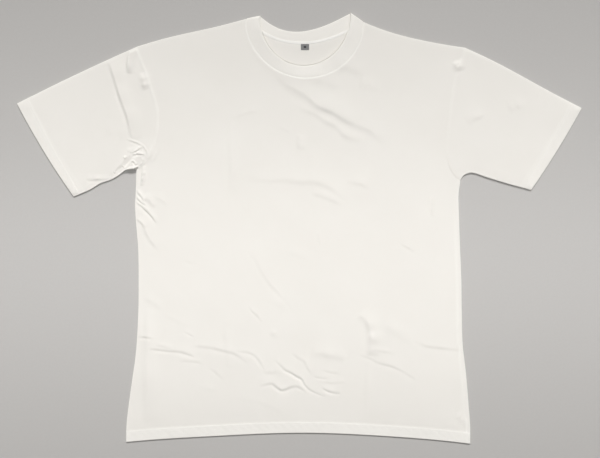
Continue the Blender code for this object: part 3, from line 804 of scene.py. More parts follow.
def makeFront():
    grids = []
    for number, plan in enumerate(frontPlan()):
        flat = np.dstack([plan, np.zeros(plan.shape[:2])])
        grids.append(gridSheet(f"frontPatch{number}", flat, plan))
    made = refined(joinedSheet("frontPanel", grids), frontFineness, 3)
    places = meshPlaces(made)
    places[:, 2] = frontHeights(places[:, :2], rimPoints(made))
    setPlaces(made, places)
    markDoubledAndRimHighlight(made, frontDoubledAndRimHighlight(places[:, :2]))
    folded = 1 - smoothRise(depthInHem(places[:, :2]), 18.0, 21.0)
    return closedCloth(made, cloth["wall"], cloth["foldedWall"], folded)


front = makeFront()
print("front:", len(front.data.polygons), "faces")


# The back, flat on the table

backPanel = {
    "inset": 1.7,
    "shoulderColumns": 36,
    "neckColumns": 56,
    "rowPaces": [(0, 2.4), (24, 2.6), (40, 4.6), (600, 4.6)],
    "hemShares": (0.0028, 0.9972),
    "underside": 0.25,
    "wall": 1.15,
    "hemWall": 1.5,
    "neckRise": 0.2,
    "openingRise": 0.95,
}


def backHeights(flat):
    away = distanceTo(outline, flat)
    hem = depthInHem(flat)
    folds = creaseHeight(flat, backCreases) + 0.5 * softWaves(flat) + 0.16
    heights = backPanel["underside"] + backPanel["wall"] + np.maximum(folds, 0) * np.clip(away / 18, 0, 1)
    heights += (backPanel["hemWall"] - backPanel["wall"]) * (1 - smoothRise(hem, 18.0, 20.0))
    underNeck = distanceTo(backSeamLine, flat)
    inside = smoothRise(72 - np.abs(flat[:, 0] - 9), 0, 26)  # it stands up where the tape is sewn on
    heights += backPanel["neckRise"] * inside * hump(underNeck, 12)
    fromRib = distanceTo(ribEdgeLine, flat)
    return heights + backPanel["openingRise"] * smoothRise(fromRib, 0.4, 1.7) * insideNeck(flat)


def insideNeck(flat):
    # whether a place is in the neck opening, between the ring's free edges
    line = frontFree(np.linspace(0, 1, 200))
    return flat[:, 1] > np.interp(flat[:, 0], line[:, 0], line[:, 1], left=1e3, right=1e3)


def backFineness(middles):
    fromRib = distanceTo(ribEdgeLine, middles[:, :2])
    fine = (fromRib < 3) & (middles[:, 1] > 240)
    return np.where(fine, 0.75, np.where((fromRib < 7) & (middles[:, 1] > 240), 1.7, 9.0))


def makeBack():
    inset = backPanel["inset"]
    neck = lineBeside(backSeam, -0.3)
    shoulders = [lineBeside(shoulderLine(side, neck(wearer(side))), side * inset) for side in (-1, 1)]
    columns = np.linspace(0, 1, backPanel["shoulderColumns"] + 1)
    middle = np.arccos(1 - 2 * np.linspace(0, 1, backPanel["neckColumns"] + 1)) / np.pi  # even steps sideways
    top = chained(shoulders[0](columns), neck(middle), shoulders[1](columns)[::-1])
    bottom = hemLine(np.linspace(*backPanel["hemShares"], len(top)))
    bottom[:, 1] += 0.5
    sides = []
    for side in (-1, 1):
        seam, hole = lineBeside(sideSeam(side), side * inset), armholeLine(side)
        low, high = lineLength(sideSeam(side)), lineLength(hole)
        rows = pacedMarks(cloth["sideLength"], [0.0, 0.6, 2.0], backPanel["rowPaces"]) * (low + high)
        rows[np.abs(rows - low).argmin()] = low
        below = rows < low - 1
        edge = np.concatenate([seam(rows[below] / low), hole((rows[~below] - low) / high)])
        toHem = bottom[-wearer(side)] - edge[0]
        toShoulder = shoulders[wearer(side)](0.0) - edge[-1]
        edge += toHem * (1 - smoothRise(rows, 0, 20))[:, None]
        sides.append(edge + toShoulder * smoothRise(rows, low + high - 60, low + high)[:, None])
    plan = fillPatch(bottom, top, *sides)
    places = np.dstack([plan, np.zeros(plan.shape[:2])])
    made = refined(joinedSheet("backPanel", [gridSheet("backPanel", places, plan)]), backFineness, 3)
    places = meshPlaces(made)
    places[:, 2] = backHeights(places[:, :2])
    setPlaces(made, places)
    folded = 1 - smoothRise(depthInHem(places[:, :2]), 18.0, 20.0)
    neckEdge = distanceTo(backSeamLine, places[:, :2])
    markDoubledAndRimHighlight(made, np.maximum(folded, 1 - smoothRise(neckEdge, 2.5, 4.5)))
    return closedCloth(made, backPanel["wall"], backPanel["hemWall"], folded)


back = makeBack()
print("back:", len(back.data.polygons), "faces")


# The sleeves, tubes pressed flat

sleeveCloth = {
    "cuffDepth": 22.0,
    "cuffStitches": (17.0, 21.0),
    "cuffStep": 0.42,
    "wall": 1.1,
    "cuffWall": 1.9,
    "tuck": 1.1,
    "reach": 0.74,
    "rollReach": 45.0,
    "underLines": 40,
    "roundSteps": 7,
    "underside": 0.25,
    "bandWidth": 3.4,
    "bandHeight": 0.4,
}


def sleeveSurface(cut):
    # the upper and the lower cloth of a sleeve, read at shares along it and across it
    fold, cuff, under = sleeveLines(cut)
    seam = armholeLine(cut["side"])
    length = lineLength(fold)

    def edgeHeight(along, across):
        # how high the rounded edges stand; the lower one lifts where the cloth bunches
        run = along * length
        lift = cut["lift"] * smoothRise(run, 1, 12) * (1 - smoothRise(run, 15, 55))
        settled = cloth["frontTop"] + cut["roll"] * np.minimum(1, run / sleeveCloth["rollReach"])
        return settled + lift * smoothRise(across, 0.55, 0.9)

    def placed(along, across, outward=0.0):
        # along and across are arrays of one shape; outward goes past the rounded edges
        start, end = fold(along), under(along)
        span = end - start
        wide = np.hypot(span[..., 0], span[..., 1])
        low = sleeveCloth["underside"]
        atFold, atUnder = [(edgeHeight(along, np.full(along.shape, at)) - low) / 2 for at in (0.0, 1.0)]
        ways = span / wide[..., None]
        radius = np.where(across > 0.5, atUnder, atFold)
        run = atFold + (wide - atFold - sleeveCloth["reach"] * atUnder) * across + outward * radius
        straight = start + ways * run[..., None]
        t = np.clip(run / wide, 0, 1)
        chordBody = fold(0.0) + (under(0.0) - fold(0.0)) * t[..., None]
        chordCuff = fold(1.0) + (under(1.0) - fold(1.0)) * t[..., None]
        bodyShift = (seam(1 - t) - chordBody) * ((1 - along) ** 3.5)[..., None]
        cuffShift = (cuff(t) - chordCuff) * along[..., None]
        return straight + bodyShift + cuffShift, np.minimum(run, wide - run), run

    def upper(along, across):
        plan, near, run = placed(along, across)
        flat = plan.reshape(-1, 2)
        lying, away = [values.reshape(along.shape) for values in upperCloth(flat)]
        roll = cut["roll"] * np.minimum(1, along * length / sleeveCloth["rollReach"])
        lying = lying + roll * np.exp(-away / cloth["airReach"])
        toCuff = (1 - along) * length
        inCuff = 1 - smoothRise(toCuff, sleeveCloth["cuffDepth"] - 0.6, sleeveCloth["cuffDepth"] + 1.6)
        lying = lying + inCuff * sleeveCloth["cuffStep"]
        ripple = np.sin(run / 2.3 + toCuff * 0.5) * 0.07 + np.sin(run / 5.3) * 0.08
        lying += ripple * hump(toCuff - 15, 8)
        for depth in sleeveCloth["cuffStitches"]:
            lying -= stitching["pull"] * hump(toCuff - depth, 0.9)
        fromSeam = distanceTo(armholeLines, flat).reshape(along.shape)
        band = 1 - smoothRise(fromSeam, sleeveCloth["bandWidth"] - 1.0, sleeveCloth["bandWidth"] + 1.4)
        band = sleeveCloth["bandHeight"] * band - frontPanel["seamGroove"] * hump(fromSeam, 0.9)
        lying += band * seamStrength(flat).reshape(along.shape)
        underarm = hump(near - 3.4, 0.8) * (across > 0.5)  # the seam beside the lower edge
        lying -= 0.35 * underarm * smoothRise(along * length, 10, 22)
        edge = edgeHeight(along, across)
        settle = smoothRise(near - (edge - 0.25) / 2, 0, 4 + 0.8 * np.maximum(edge - 3.6, 0))
        return plan, edge + (lying - edge) * settle

    return length, edgeHeight, placed, upper


def bunchFineness(middles):
    places = middles[:, :2]
    fine = (distanceTo(bunchLines, places) < 6) & (middles[:, 2] > 2.4)
    return np.where(fine, 0.75, 9.0)


def refineBunch(made, upper, length, around, topShares):
    # closer points where the cloth is bunched, laid on the upper cloth by their cloth map
    refined(made, bunchFineness, 1)
    places = meshPlaces(made)
    cloths = np.full((len(places), 2), -1.0)
    corners = readAll(made.data.loops, "vertex_index", kind=np.int32)
    cloths[corners] = readAll(made.data.uv_layers[0].data, "uv", 2) / mm
    atRound, atAlong = cloths.T
    onTop = (atRound > 0.01) & (atRound < around[-1] - 0.01) & (atAlong > 0.01)
    across = np.interp(atRound[onTop], around, topShares)
    plan, height = upper(np.clip(atAlong[onTop] / length, 0, 1), across)
    places[onTop] = np.column_stack([plan, height])
    setPlaces(made, places)


def makeSleeve(name, cut):
    length, edgeHeight, placed, upper = sleeveSurface(cut)
    low, pace = sleeveCloth["underside"], cut["alongPace"]
    marks = pacedMarks(length, [0.0, 0.6, 1.6], [(0, pace), (length, pace)])
    topShares = np.linspace(0, 1, cut["topLines"])
    underShares = np.linspace(1, 0, sleeveCloth["underLines"])
    along, across = np.meshgrid(marks, topShares, indexing="ij")
    plan, height = upper(along, across)
    rounds = []
    angles = np.pi * np.arange(1, sleeveCloth["roundSteps"]) / sleeveCloth["roundSteps"]
    for at, way, turns in ((1.0, 1, angles), (0.0, -1, angles[::-1])):
        turned, turnedAcross = np.meshgrid(marks, turns, indexing="ij")
        tucked = sleeveCloth["tuck"] * ((1 - np.cos(turnedAcross)) / 2) ** 1.5 * (at > 0.5)
        flat, _, _ = placed(turned, np.full(turned.shape, at), way * np.sin(turnedAcross) - tucked)
        radius = (edgeHeight(turned, np.full(turned.shape, at)) - low) / 2
        rounds.append((flat, low + radius * (1 + np.cos(turnedAcross))))
    underAlong, underAcross = np.meshgrid(marks, underShares, indexing="ij")
    tucked = -sleeveCloth["tuck"] * smoothRise(underAcross, 0.75, 1)
    underPlan, near, _ = placed(underAlong, underAcross, tucked)
    underFlat = underPlan.reshape(-1, 2)
    fromSeam = distanceTo(armholeLines, underFlat).reshape(underAlong.shape)
    lift = np.maximum(creaseHeight(underFlat * [1, -1] + [0, 300], backCreases), 0).reshape(underAlong.shape)
    lift = lift * np.clip(near / 18, 0, 1) + 0.35 * hump(fromSeam, 1.2) + low
    parts = [np.dstack(part) for part in ((plan, height), rounds[0], (underPlan, lift), rounds[1])]
    places = np.concatenate([*parts, parts[0][:, :1]], axis=1)
    girth = np.linalg.norm(np.diff(places, axis=1), axis=2).mean(axis=0)
    around = np.concatenate([[0], np.cumsum(girth)])
    clothMap = np.dstack(np.meshgrid(around, marks * length))
    made = joinedSheet(name, [gridSheet(name, places, clothMap)], up=False)
    if cut["bunched"]:
        refineBunch(made, upper, length, around[:cut["topLines"]], topShares)
    facesPointOut(made, lambda heights: 2.5)
    flat = meshPlaces(made)[:, :2]
    atFold, toCuff, atUnder = [distanceTo([sampled(line)], flat) for line in sleeveLines(cut)]
    seam = 0.9 * (1 - smoothRise(distanceTo(armholeLines, flat), 2.6, 4.6)) * seamStrength(flat)
    # whiter beside the underarm seam; along the folded top edge it is a painted highlight
    edges = np.maximum(0.85 * (1 - smoothRise(atUnder, 2.4, 3.8)), 0.45 * (1 - smoothRise(atFold, 2, 8)))
    markDoubledAndRimHighlight(made, np.maximum.reduce([0.3 * (1 - smoothRise(toCuff, 21.4, 23.2)), seam, edges]))
    folded = 1 - smoothRise(toCuff, 21.0, 24.0)
    return closedCloth(made, sleeveCloth["wall"], sleeveCloth["cuffWall"], folded)


sleeves = {name: makeSleeve(name + "Sleeve", cut) for name, cut in sleeveCuts.items()}
for name, sleeve in sleeves.items():
    print(name, "sleeve:", len(sleeve.data.polygons), "faces")


# The neck rib: a strip folded along its length, sewn into a ring

neckRib = {
    "low": 1.4,
    "half": 0.8,  # from the middle of the folded strip to its faces
    "ply": 0.65,
    "fold": 2.5,  # how far the front's half of the ring lies above the back's
    "lift": 0.7,  # of the front's free edge, and more at the sides and the ends
    "sideLift": 2.5,
    "endLift": 1.1,
    "turnReach": 1.05,  # how far the ends turn out past the shoulders
    "frontSpan": (0.009, 0.9955),
    "backSpan": (0.96, 0.058),
    "liftReach": 22.0,
    "pitch": 2.2,  # of the knit's ribs
    "ribHeight": 0.12,
    "step": 0.55,
    "crown": 0.2,
    "seamDip": -0.25,
    "sections": 9,
    "turnSteps": 10,
}


def ringStations():
    # places along the ring: seam edge, free edge, height of its middle at each, turn of its face
    rib = neckRib
    low, high = rib["low"], rib["low"] + rib["fold"]
    t, back = [
        np.linspace(*span, round(lineLength(line) / rib["step"]) + 1)
        for span, line in ((rib["frontSpan"], frontSeam), (rib["backSpan"], backSeam))
    ]
    seam, free = frontSeam(t), frontFree(t)
    ends = np.minimum(np.hypot(*(seam - frontSeam(0.0)).T), np.hypot(*(seam - frontSeam(1.0)).T))
    risen = np.minimum(1, ends / rib["liftReach"])
    lift = rib["lift"] + rib["sideLift"] * np.abs(np.cos(np.pi * t)) ** 0.7
    atFree = high + rib["endLift"] * (1 - risen) + lift * risen
    onFront = frontHeights(lineBeside(frontSeam, -1.0)(t)) - rib["half"]
    atSeam = np.maximum(high + (onFront - low - rib["fold"]) * risen, high)
    angle = np.pi * np.arange(1, rib["turnSteps"]) / rib["turnSteps"]
    reach = np.column_stack([np.zeros(len(angle)), np.sin(angle) * rib["turnReach"]])

    def turnedEnd(turn, atFront, atBack):
        front = ((1 + np.cos(turn)) / 2)[:, None]  # how near the front's end of the ring
        seamEnd = frontSeam(atFront) * front + backSeam(atBack) * (1 - front) + reach
        freeEnd = frontFree(atFront) * front + backFree(atBack) * (1 - front) + reach
        height = low + rib["fold"] / 2 * (1 + np.cos(turn))
        freeHeight = low + (rib["fold"] + rib["endLift"]) / 2 * (1 + np.cos(turn))
        return np.column_stack([seamEnd, freeEnd, height, freeHeight, turn])

    level = np.full(len(back), low)
    return np.concatenate([
        np.column_stack([seam, free, atSeam, atFree, np.zeros(len(t))]),
        turnedEnd(angle, t[-1], back[0]),
        np.column_stack([backSeam(back), backFree(back), level, level, np.full(len(back), np.pi)]),
        turnedEnd(np.pi + angle, t[0], back[-1]),
    ])


def makeRib():
    rib = neckRib
    stations = ringStations()
    seam, free = stations[:, :2], stations[:, 2:4]
    atSeam, atFree, turn = stations[:, 4:].T
    across = free - seam
    wide = np.hypot(*across.T)
    across = across / wide[:, None]
    face = np.column_stack([np.zeros(len(turn)), np.sin(turn), np.cos(turn)])
    run = np.concatenate([[0], np.cumsum(np.hypot(*np.diff((seam + free) / 2, axis=0).T))])
    ribs = np.abs(np.cos(np.pi * run / rib["pitch"])) ** 0.8 - 0.6
    showing = smoothRise(-seam[:, 1], *frontPanel["neckShows"])
    flat = np.linspace(0, 1, rib["sections"])
    profile = [(s, 1.0, 0.0) for s in flat]
    profile += [(1.0, math.cos(a), math.sin(a)) for a in (math.pi / 4, math.pi / 2, 3 * math.pi / 4)]
    profile += [(s, -1.0, 0.0) for s in flat[::-1]]
    thick = rib["half"] + rib["ribHeight"] * ribs
    rows = []
    for share, up, out in profile:
        crown = rib["crown"] * math.sin(math.pi * min(share, 1)) * up
        dip = rib["seamDip"] * hump(share, 0.06) * up * showing
        place = seam + across * ((wide - rib["half"]) * share + thick * out)[:, None]
        height = atSeam + (atFree - atSeam) * min(share, 1) ** 1.3
        rows.append(np.column_stack([place, height]) + face * (thick * up + crown + dip)[:, None])
    places = np.stack(rows, axis=1)
    places = np.concatenate([places, places[:1]])
    depth = np.linalg.norm(np.diff(places, axis=1), axis=2).mean(axis=0)
    depth = np.concatenate([[0], np.cumsum(depth)])
    clothMap = np.dstack(np.meshgrid(depth, [*run, run[-1] + rib["step"]]))[..., ::-1]
    made = joinedSheet("neckRibRing", [gridSheet("neckRibRing", places, clothMap)], up=False)
    facesPointOut(made, lambda heights: np.where(heights > 2.6, 4.6, 1.0))
    return closedCloth(made, rib["ply"])


rib = makeRib()
print("neck rib:", len(rib.data.polygons), "faces")


# The neck tape and the label inside the back neck

neckTape = {
    "span": (0.16, 0.84),
    "overRib": 2.0,
    "overBack": 2.9,
    "wall": 0.8,
    # shares of those widths, and the heights there: over the rib, and over the back's own
    "ribSide": ((1.0, 2.1), (0.9, 2.5), (0.5, 2.75), (0.1, 2.78)),
    "backSide": ((-0.3, 0.3), (-0.6, 0.2), (-0.85, 0.12), (-0.97, 0.04), (-1.0, -0.1)),
    "stitches": ((1.3, 2.76), (-2.1, 0.2)),  # how far from the seam, and how high
}
neckLabel = {
    "size": (14.4, 10.4),
    "x": 9.1,
    "top": 321.6,
    "wall": 0.5,
    "height": 0.5,
    "columns": 30,
    "rows": 22,
    "mark": (0.0021, 0.0018),  # half the plain block's width and height, in metres
}


def makeTape():
    shares = np.linspace(*neckTape["span"], 260)
    line = backSeam(shares)
    run = np.concatenate([[0], np.cumsum(np.hypot(*np.diff(line, axis=0).T))])
    rows, maps = [], []
    for offset, height in (*neckTape["ribSide"], *neckTape["backSide"]):
        distance = offset * (neckTape["overRib"] if offset > 0 else neckTape["overBack"])
        ripple = 0.05 * np.sin(run / 0.9 + offset * 2)
        plan = lineBeside(backSeam, distance)(shares)
        base = backHeights(plan) if offset < 0 else 0.0
        rows.append(np.column_stack([plan, base + height + ripple]))
        maps.append(np.column_stack([run, np.full(len(run), distance)]))
    made = joinedSheet("neckTapeStrip", [gridSheet("neckTapeStrip", np.stack(rows), np.stack(maps))])
    return closedCloth(made, neckTape["wall"])


def makeLabel():
    width, height = neckLabel["size"]
    across, down = np.linspace(-0.5, 0.5, neckLabel["columns"]), np.linspace(0, 1, neckLabel["rows"])
    x, y = np.meshgrid(across * width, -down * height)
    bend = 0.15 * np.sin(np.pi * (x / width + 0.5)) + 0.08 * np.cos(y / 3.1)
    plan = np.dstack([x + neckLabel["x"], y + neckLabel["top"]])
    base = backHeights(plan.reshape(-1, 2)).reshape(x.shape)
    places = np.dstack([plan, base + neckLabel["height"] + bend])
    clothMap = np.dstack([x, y + height / 2])
    made = joinedSheet("neckLabelWoven", [gridSheet("neckLabelWoven", places, clothMap)])
    return closedCloth(made, neckLabel["wall"])


tape = makeTape()
label = makeLabel()
print("tape and label made")


# Stitches

def stitchShape():
    deselectAll()
    bpy.ops.mesh.primitive_uv_sphere_add(
        segments=stitching["segments"], ring_count=stitching["rings"], radius=0.5)
    shape = bpy.context.object
    points = np.array([vertex.co[:] for vertex in shape.data.vertices])
    points = points[:, [2, 1, 0]] * [1, 1, -1]  # its poles at the stitch's two ends
    faces = sorted(tuple(face.vertices) for face in shape.data.polygons)
    bpy.data.objects.remove(shape)
    return points, faces


def stitchRows(name, runs):
    # one mesh of small thread humps; each run is a row of places and the way that is up there
    shape, faces = stitchShape()
    scale = np.array([stitching["length"], stitching["thread"], stitching["height"]])
    points, allFaces = [], []
    for run, up in runs:
        spans = np.linalg.norm(np.diff(run, axis=0), axis=1)
        marks = np.concatenate([[0], np.cumsum(spans)])
        pitch = stitching["length"] + stitching["gap"]
        count = int(marks[-1] // pitch)
        middles = (np.arange(count) + 0.5) * marks[-1] / count
        starts, ends = middles - stitching["length"] / 2, middles + stitching["length"] / 2
        centre, start, end = [
            np.column_stack([np.interp(at, marks, run[:, k]) for k in range(3)])
            for at in (middles, starts, ends)
        ]
        along = end - start
        along /= np.linalg.norm(along, axis=1)[:, None]
        sideways = np.cross([0, 0, up], along)
        sideways /= np.linalg.norm(sideways, axis=1)[:, None]
        upward = np.cross(along, sideways)
        scaled = shape * scale
        for c, a, s, u in zip(centre, along, sideways, upward):
            first = len(points) * len(shape)
            points.append(c + scaled[:, :1] * a + scaled[:, 1:2] * s + scaled[:, 2:] * u)
            allFaces += [tuple(first + i for i in face) for face in faces]
    mesh = bpy.data.meshes.new(name)
    mesh.from_pydata((np.concatenate(points) * mm).tolist(), [], allFaces)
    made = bpy.data.objects.new(name, mesh)
    bpy.context.scene.collection.objects.link(made)
    editWhole(made, agreeNormals)
    bpy.ops.object.shade_smooth()
    return made


def stitchRun(plan, height):
    return np.column_stack([plan, np.zeros(len(plan)) + height])


def hemRuns():
    runs = []
    for depth in bodyCut["hemStitches"]:
        plan = lineBeside(hemLine, depth)(np.linspace(0.008, 0.992, 400))
        runs.append((stitchRun(plan, frontHeights(plan) + stitching["above"]), 1))
        runs.append((stitchRun(plan, stitching["underneath"]), -1))
    return runs


def cuffRuns():
    runs = []
    across = np.linspace(0.02, 0.98, 160)
    for cut in sleeveCuts.values():
        length, _, _, upper = sleeveSurface(cut)
        for depth in sleeveCloth["cuffStitches"]:
            plan, height = upper(np.full(len(across), 1 - depth / length), across)
            runs.append((stitchRun(plan, height + stitching["above"]), 1))
            runs.append((stitchRun(plan, stitching["underneath"]), -1))
    return runs


def neckRuns():
    plan = lineBeside(frontSeam, -2.6)(np.linspace(0.03, 0.97, 260))
    runs = [(stitchRun(plan, frontHeights(plan) + stitching["above"]), 1)]
    for distance, height in neckTape["stitches"]:
        plan = lineBeside(backSeam, distance)(np.linspace(0.165, 0.835, 200))
        runs.append((stitchRun(plan, height + (backHeights(plan) if distance < 0 else 0.0)), 1))
    return runs


hemStitches = stitchRows("hemStitches", hemRuns())
cuffStitches = stitchRows("cuffStitches", cuffRuns())
neckStitches = stitchRows("neckStitches", neckRuns())
print("stitches made")


# Materials

finishes = {
    "cotton": {"colour": (0.86, 0.835, 0.79), "shade": (0.82, 0.79, 0.735)},
    "rib": {"colour": (0.925, 0.9, 0.85), "shade": (0.885, 0.855, 0.8)},
    "tape": {"colour": (0.925, 0.905, 0.865), "shade": (0.92, 0.9, 0.86)},
    "label": {"colour": (0.27, 0.27, 0.27), "shade": (0.2, 0.2, 0.2)},
    "thread": {"colour": (0.92, 0.905, 0.87), "shade": (0.88, 0.86, 0.82)},
    "floor": {"colour": (0.512, 0.498, 0.481), "shade": (0.484, 0.47, 0.454), "rough": 0.42, "shine": 0.38},
    "doubledAndRimHighlight": (0.905, 0.885, 0.835),
    "labelMark": (0.05, 0.05, 0.055),
}


def fill(tree, node, values):
    # each named socket gets a plain value, or a link from another node
    for name, value in values.items():
        if isinstance(value, bpy.types.NodeSocket):
            tree.links.new(value, node.inputs[name])
        else:
            node.inputs[name].default_value = value


def mathNode(tree, operation, *values):
    node = tree.nodes.new("ShaderNodeMath")
    node.operation = operation
    fill(tree, node, dict(enumerate(values)))
    return node.outputs[0]


def noiseNode(tree, place, scale, detail):
    node = tree.nodes.new("ShaderNodeTexNoise")
    fill(tree, node, {"Vector": place, "Scale": scale, "Detail": detail})
    return node.outputs["Fac"]


def mixNode(tree, share, first, second):
    node = tree.nodes.new("ShaderNodeMix")
    node.data_type = "RGBA"
    fill(tree, node, {"Factor": share, "A": first, "B": second})
    return node.outputs["Result"]


def groupNode(tree, group, values):
    node = tree.nodes.new("ShaderNodeGroup")
    node.node_tree = group
    fill(tree, node, values)
    return node.outputs


def newGroup(name, inputs, outputs):
    group = bpy.data.node_groups.new(name, "ShaderNodeTree")
    for socketName, kind, value in inputs:
        socket = group.interface.new_socket(socketName, in_out="INPUT", socket_type="NodeSocket" + kind)
        if value is not None:
            socket.default_value = value
    for socketName, kind in outputs:
        group.interface.new_socket(socketName, in_out="OUTPUT", socket_type="NodeSocket" + kind)
    return group, group.nodes.new("NodeGroupInput").outputs, group.nodes.new("NodeGroupOutput")


def knitGroup():
    # knitted loops: columns of slanted legs, each column a rounded wale
    group, into, out = newGroup(
        "knitLoops",
        [("Map", "Vector", None), ("Wale", "Float", 0.0009), ("Course", "Float", 0.0007)],
        [("Height", "Float")],
    )
    split = group.nodes.new("ShaderNodeSeparateXYZ")
    group.links.new(into["Map"], split.inputs[0])
    wale = mathNode(group, "DIVIDE", split.outputs["X"], into["Wale"])
    course = mathNode(group, "DIVIDE", split.outputs["Y"], into["Course"])
    column = mathNode(group, "PINGPONG", wale, 0.5)
    leg = mathNode(group, "PINGPONG", mathNode(group, "ADD", course, column), 0.5)
    rounded = mathNode(group, "POWER", mathNode(group, "MULTIPLY", column, 2.0), 0.6)
    across, along = mathNode(group, "MULTIPLY", rounded, 0.6), mathNode(group, "MULTIPLY", leg, 0.8)
    fill(group, out, {"Height": mathNode(group, "ADD", across, along)})
    return group


def toneGroup():
    # slow and fine changes of tone, painted shade in the knit's hollows, and lint that catches the light
    group, into, out = newGroup(
        "clothTone",
        [("Place", "Vector", None), ("Colour", "Color", (1, 1, 1, 1)), ("Shade", "Color", (0.8, 0.8, 0.8, 1)),
         ("Knit", "Float", 0.5), ("DoubledAndRimHighlight", "Float", 0.0)],
        [("Colour", "Color"), ("Roughness", "Float"), ("Lint", "Float")],
    )
    slow, fine = noiseNode(group, into["Place"], 9, 3), noiseNode(group, into["Place"], 900, 2)
    slowShare = mathNode(group, "MULTIPLY", slow, 0.55)
    # painted shade: the low parts of the knitted loops are mixed towards the darker shade colour
    paintedKnitShade = mathNode(group, "MULTIPLY", mathNode(group, "SUBTRACT", 1.0, into["Knit"]), 0.28)
    fineShare = mathNode(group, "MULTIPLY", fine, 0.25)
    share = mathNode(group, "ADD", mathNode(group, "ADD", slowShare, paintedKnitShade), fineShare)
    mixed = mixNode(group, share, into["Colour"], into["Shade"])
    # doubled cloth lets less of the grey below through; the same mix also paints highlight along outer edges
    whiter = mixNode(group, into["DoubledAndRimHighlight"], mixed, (*finishes["doubledAndRimHighlight"], 1))
    roughness = mathNode(group, "ADD", mathNode(group, "MULTIPLY", fine, 0.1), 0.86)
    fill(group, out, {"Colour": whiter, "Roughness": roughness, "Lint": fine})
    return group


knitLoops = knitGroup()
clothTone = toneGroup()


def newMaterial(name):
    material = bpy.data.materials.new(name)
    material.use_nodes = True
    tree = material.node_tree
    return material, tree, tree.nodes["Principled BSDF"], tree.nodes.new("ShaderNodeTexCoord").outputs


def clothMaterial(name, finish, wale, course, bump, sheen=0.25):
    material, tree, shader, places = newMaterial(name)
    knit = groupNode(tree, knitLoops, {"Map": places["UV"], "Wale": wale * mm, "Course": course * mm})
    doubledAndRimHighlight = tree.nodes.new("ShaderNodeAttribute")
    doubledAndRimHighlight.attribute_name = "doubledAndRimHighlight"
    tone = groupNode(tree, clothTone, {
        "Place": places["Object"],
        "Colour": (*finish["colour"], 1),
        "Shade": (*finish["shade"], 1),
        "Knit": knit["Height"],
        "DoubledAndRimHighlight": mathNode(tree, "MULTIPLY", doubledAndRimHighlight.outputs["Fac"], 0.65),
    })
    lint = mathNode(tree, "MULTIPLY", tone["Lint"], 0.6)
    raised = tree.nodes.new("ShaderNodeBump")
    height = mathNode(tree, "ADD", knit["Height"], lint)
    fill(tree, raised, {"Strength": bump, "Distance": 0.00025, "Height": height})
    fill(tree, shader, {
        "Base Color": tone["Colour"],
        "Roughness": tone["Roughness"],
        "Normal": raised.outputs["Normal"],
        "Sheen Weight": sheen,
        "Sheen Roughness": 0.6,
        "Specular IOR Level": 0.25,
    })
    return material, tree, shader, places


def labelMaterial(finish):
    # a plain dark woven block in the middle of the label
    material, tree, shader, places = clothMaterial("wovenLabel", finish, 0.35, 0.3, 0.6, 0.1)
    split = tree.nodes.new("ShaderNodeSeparateXYZ")
    tree.links.new(places["UV"], split.inputs[0])
    inX, inY = [
        mathNode(tree, "LESS_THAN", mathNode(tree, "ABSOLUTE", split.outputs[way]), half)
        for way, half in zip("XY", neckLabel["mark"])
    ]
    woven = shader.inputs["Base Color"].links[0].from_socket
    marked = mixNode(tree, mathNode(tree, "MULTIPLY", inX, inY), woven, (*finishes["labelMark"], 1))
    fill(tree, shader, {"Base Color": marked})
    return material


def floorMaterial(finish):
    material, tree, shader, places = newMaterial("paleFloor")
    noise = noiseNode(tree, places["Object"], 260, 4)
    colour = mixNode(tree, noise, (*finish["colour"], 1), (*finish["shade"], 1))
    fill(tree, shader, {
        "Base Color": colour, "Roughness": finish["rough"], "Specular IOR Level": finish["shine"]})
    return material


def wear(made, material):
    made.data.materials.clear()
    made.data.materials.append(material)


cottonJersey, *_ = clothMaterial("cottonJersey", finishes["cotton"], 0.85, 0.65, 0.5)
ribKnit, *_ = clothMaterial("ribKnit", finishes["rib"], 0.55, 0.7, 0.6)
seamTape, *_ = clothMaterial("seamTape", finishes["tape"], 0.8, 0.8, 0.6)
sewingThread, *_ = clothMaterial("sewingThread", finishes["thread"], 0.5, 0.5, 0.1, 0.1)
wovenLabel = labelMaterial(finishes["label"])
for made in (front, back, *sleeves.values()):
    wear(made, cottonJersey)
wear(rib, ribKnit)
wear(tape, seamTape)
wear(label, wovenLabel)
for made in (hemStitches, cuffStitches, neckStitches):
    wear(made, sewingThread)
print("materials made")


# Floor, light and camera

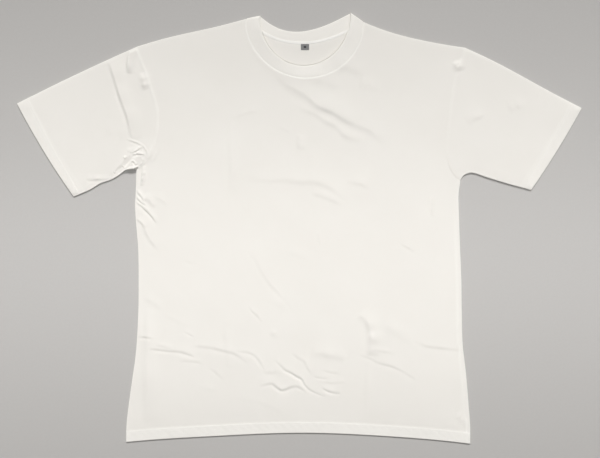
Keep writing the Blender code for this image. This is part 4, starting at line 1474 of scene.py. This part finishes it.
studio = {
    "floorSize": 6.0,
    "cameraPlace": (0.00044, -0.00044, 1.5),
    "lens": 51.6,
    "stripPlace": (0, -0.055, 1.1),
    "stripSize": (3.2, 0.35),
    "stripEnergy": 2.6,
    "stripSpread": 70,
    "sunTilt": 43,
    "sunTurn": 175,
    "sunAngle": 17,
    "sunEnergy": 2.75,
    "roomColour": (1.0, 0.985, 0.965, 1),
    "roomStrength": 0.12,
}


def addObject(name, data, place=(0, 0, 0)):
    made = bpy.data.objects.new(name, data)
    made.location = place
    bpy.context.scene.collection.objects.link(made)
    return made


def makeStudio():
    deselectAll()
    bpy.ops.mesh.primitive_plane_add(size=studio["floorSize"])
    floor = bpy.context.object
    floor.name = floor.data.name = "tableTop"
    wear(floor, floorMaterial(finishes["floor"]))
    strip = bpy.data.lights.new("overheadStrip", "AREA")
    strip.shape = "RECTANGLE"
    strip.size, strip.size_y = studio["stripSize"]
    strip.energy, strip.spread = studio["stripEnergy"], math.radians(studio["stripSpread"])
    addObject("overheadStrip", strip, studio["stripPlace"]).visible_camera = False
    sun = bpy.data.lights.new("softKey", "SUN")
    sun.energy, sun.angle = studio["sunEnergy"], math.radians(studio["sunAngle"])
    turn = math.radians(studio["sunTilt"]), 0, math.radians(studio["sunTurn"])
    addObject("softKey", sun).rotation_euler = turn
    world = bpy.data.worlds.new("softRoom")
    world.use_nodes = True
    room = world.node_tree.nodes["Background"].inputs
    room["Color"].default_value, room["Strength"].default_value = studio["roomColour"], studio["roomStrength"]
    bpy.context.scene.world = world
    camera = addObject("camera", bpy.data.cameras.new("camera"), studio["cameraPlace"])
    camera.data.lens = studio["lens"]
    bpy.context.scene.camera = camera
    bpy.context.scene.view_settings.view_transform = "Standard"
    return floor


floor = makeStudio()


# What each piece stands for

replaced = {
    front: ("front_panel", "cotton_jersey"),
    back: ("back_panel", "cotton_jersey"),
    sleeves["right"]: ("sleeve_right", "cotton_jersey"),
    sleeves["left"]: ("sleeve_left", "cotton_jersey"),
    rib: ("collar_rib", "rib_knit"),
    tape: ("neck_tape", "tape"),
    label: ("neck_label", "woven_label"),
}
for made, (node, slotName) in replaced.items():
    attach(made, "root")
    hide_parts(node)
for made in (hemStitches, cuffStitches, neckStitches):
    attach(made, "root")
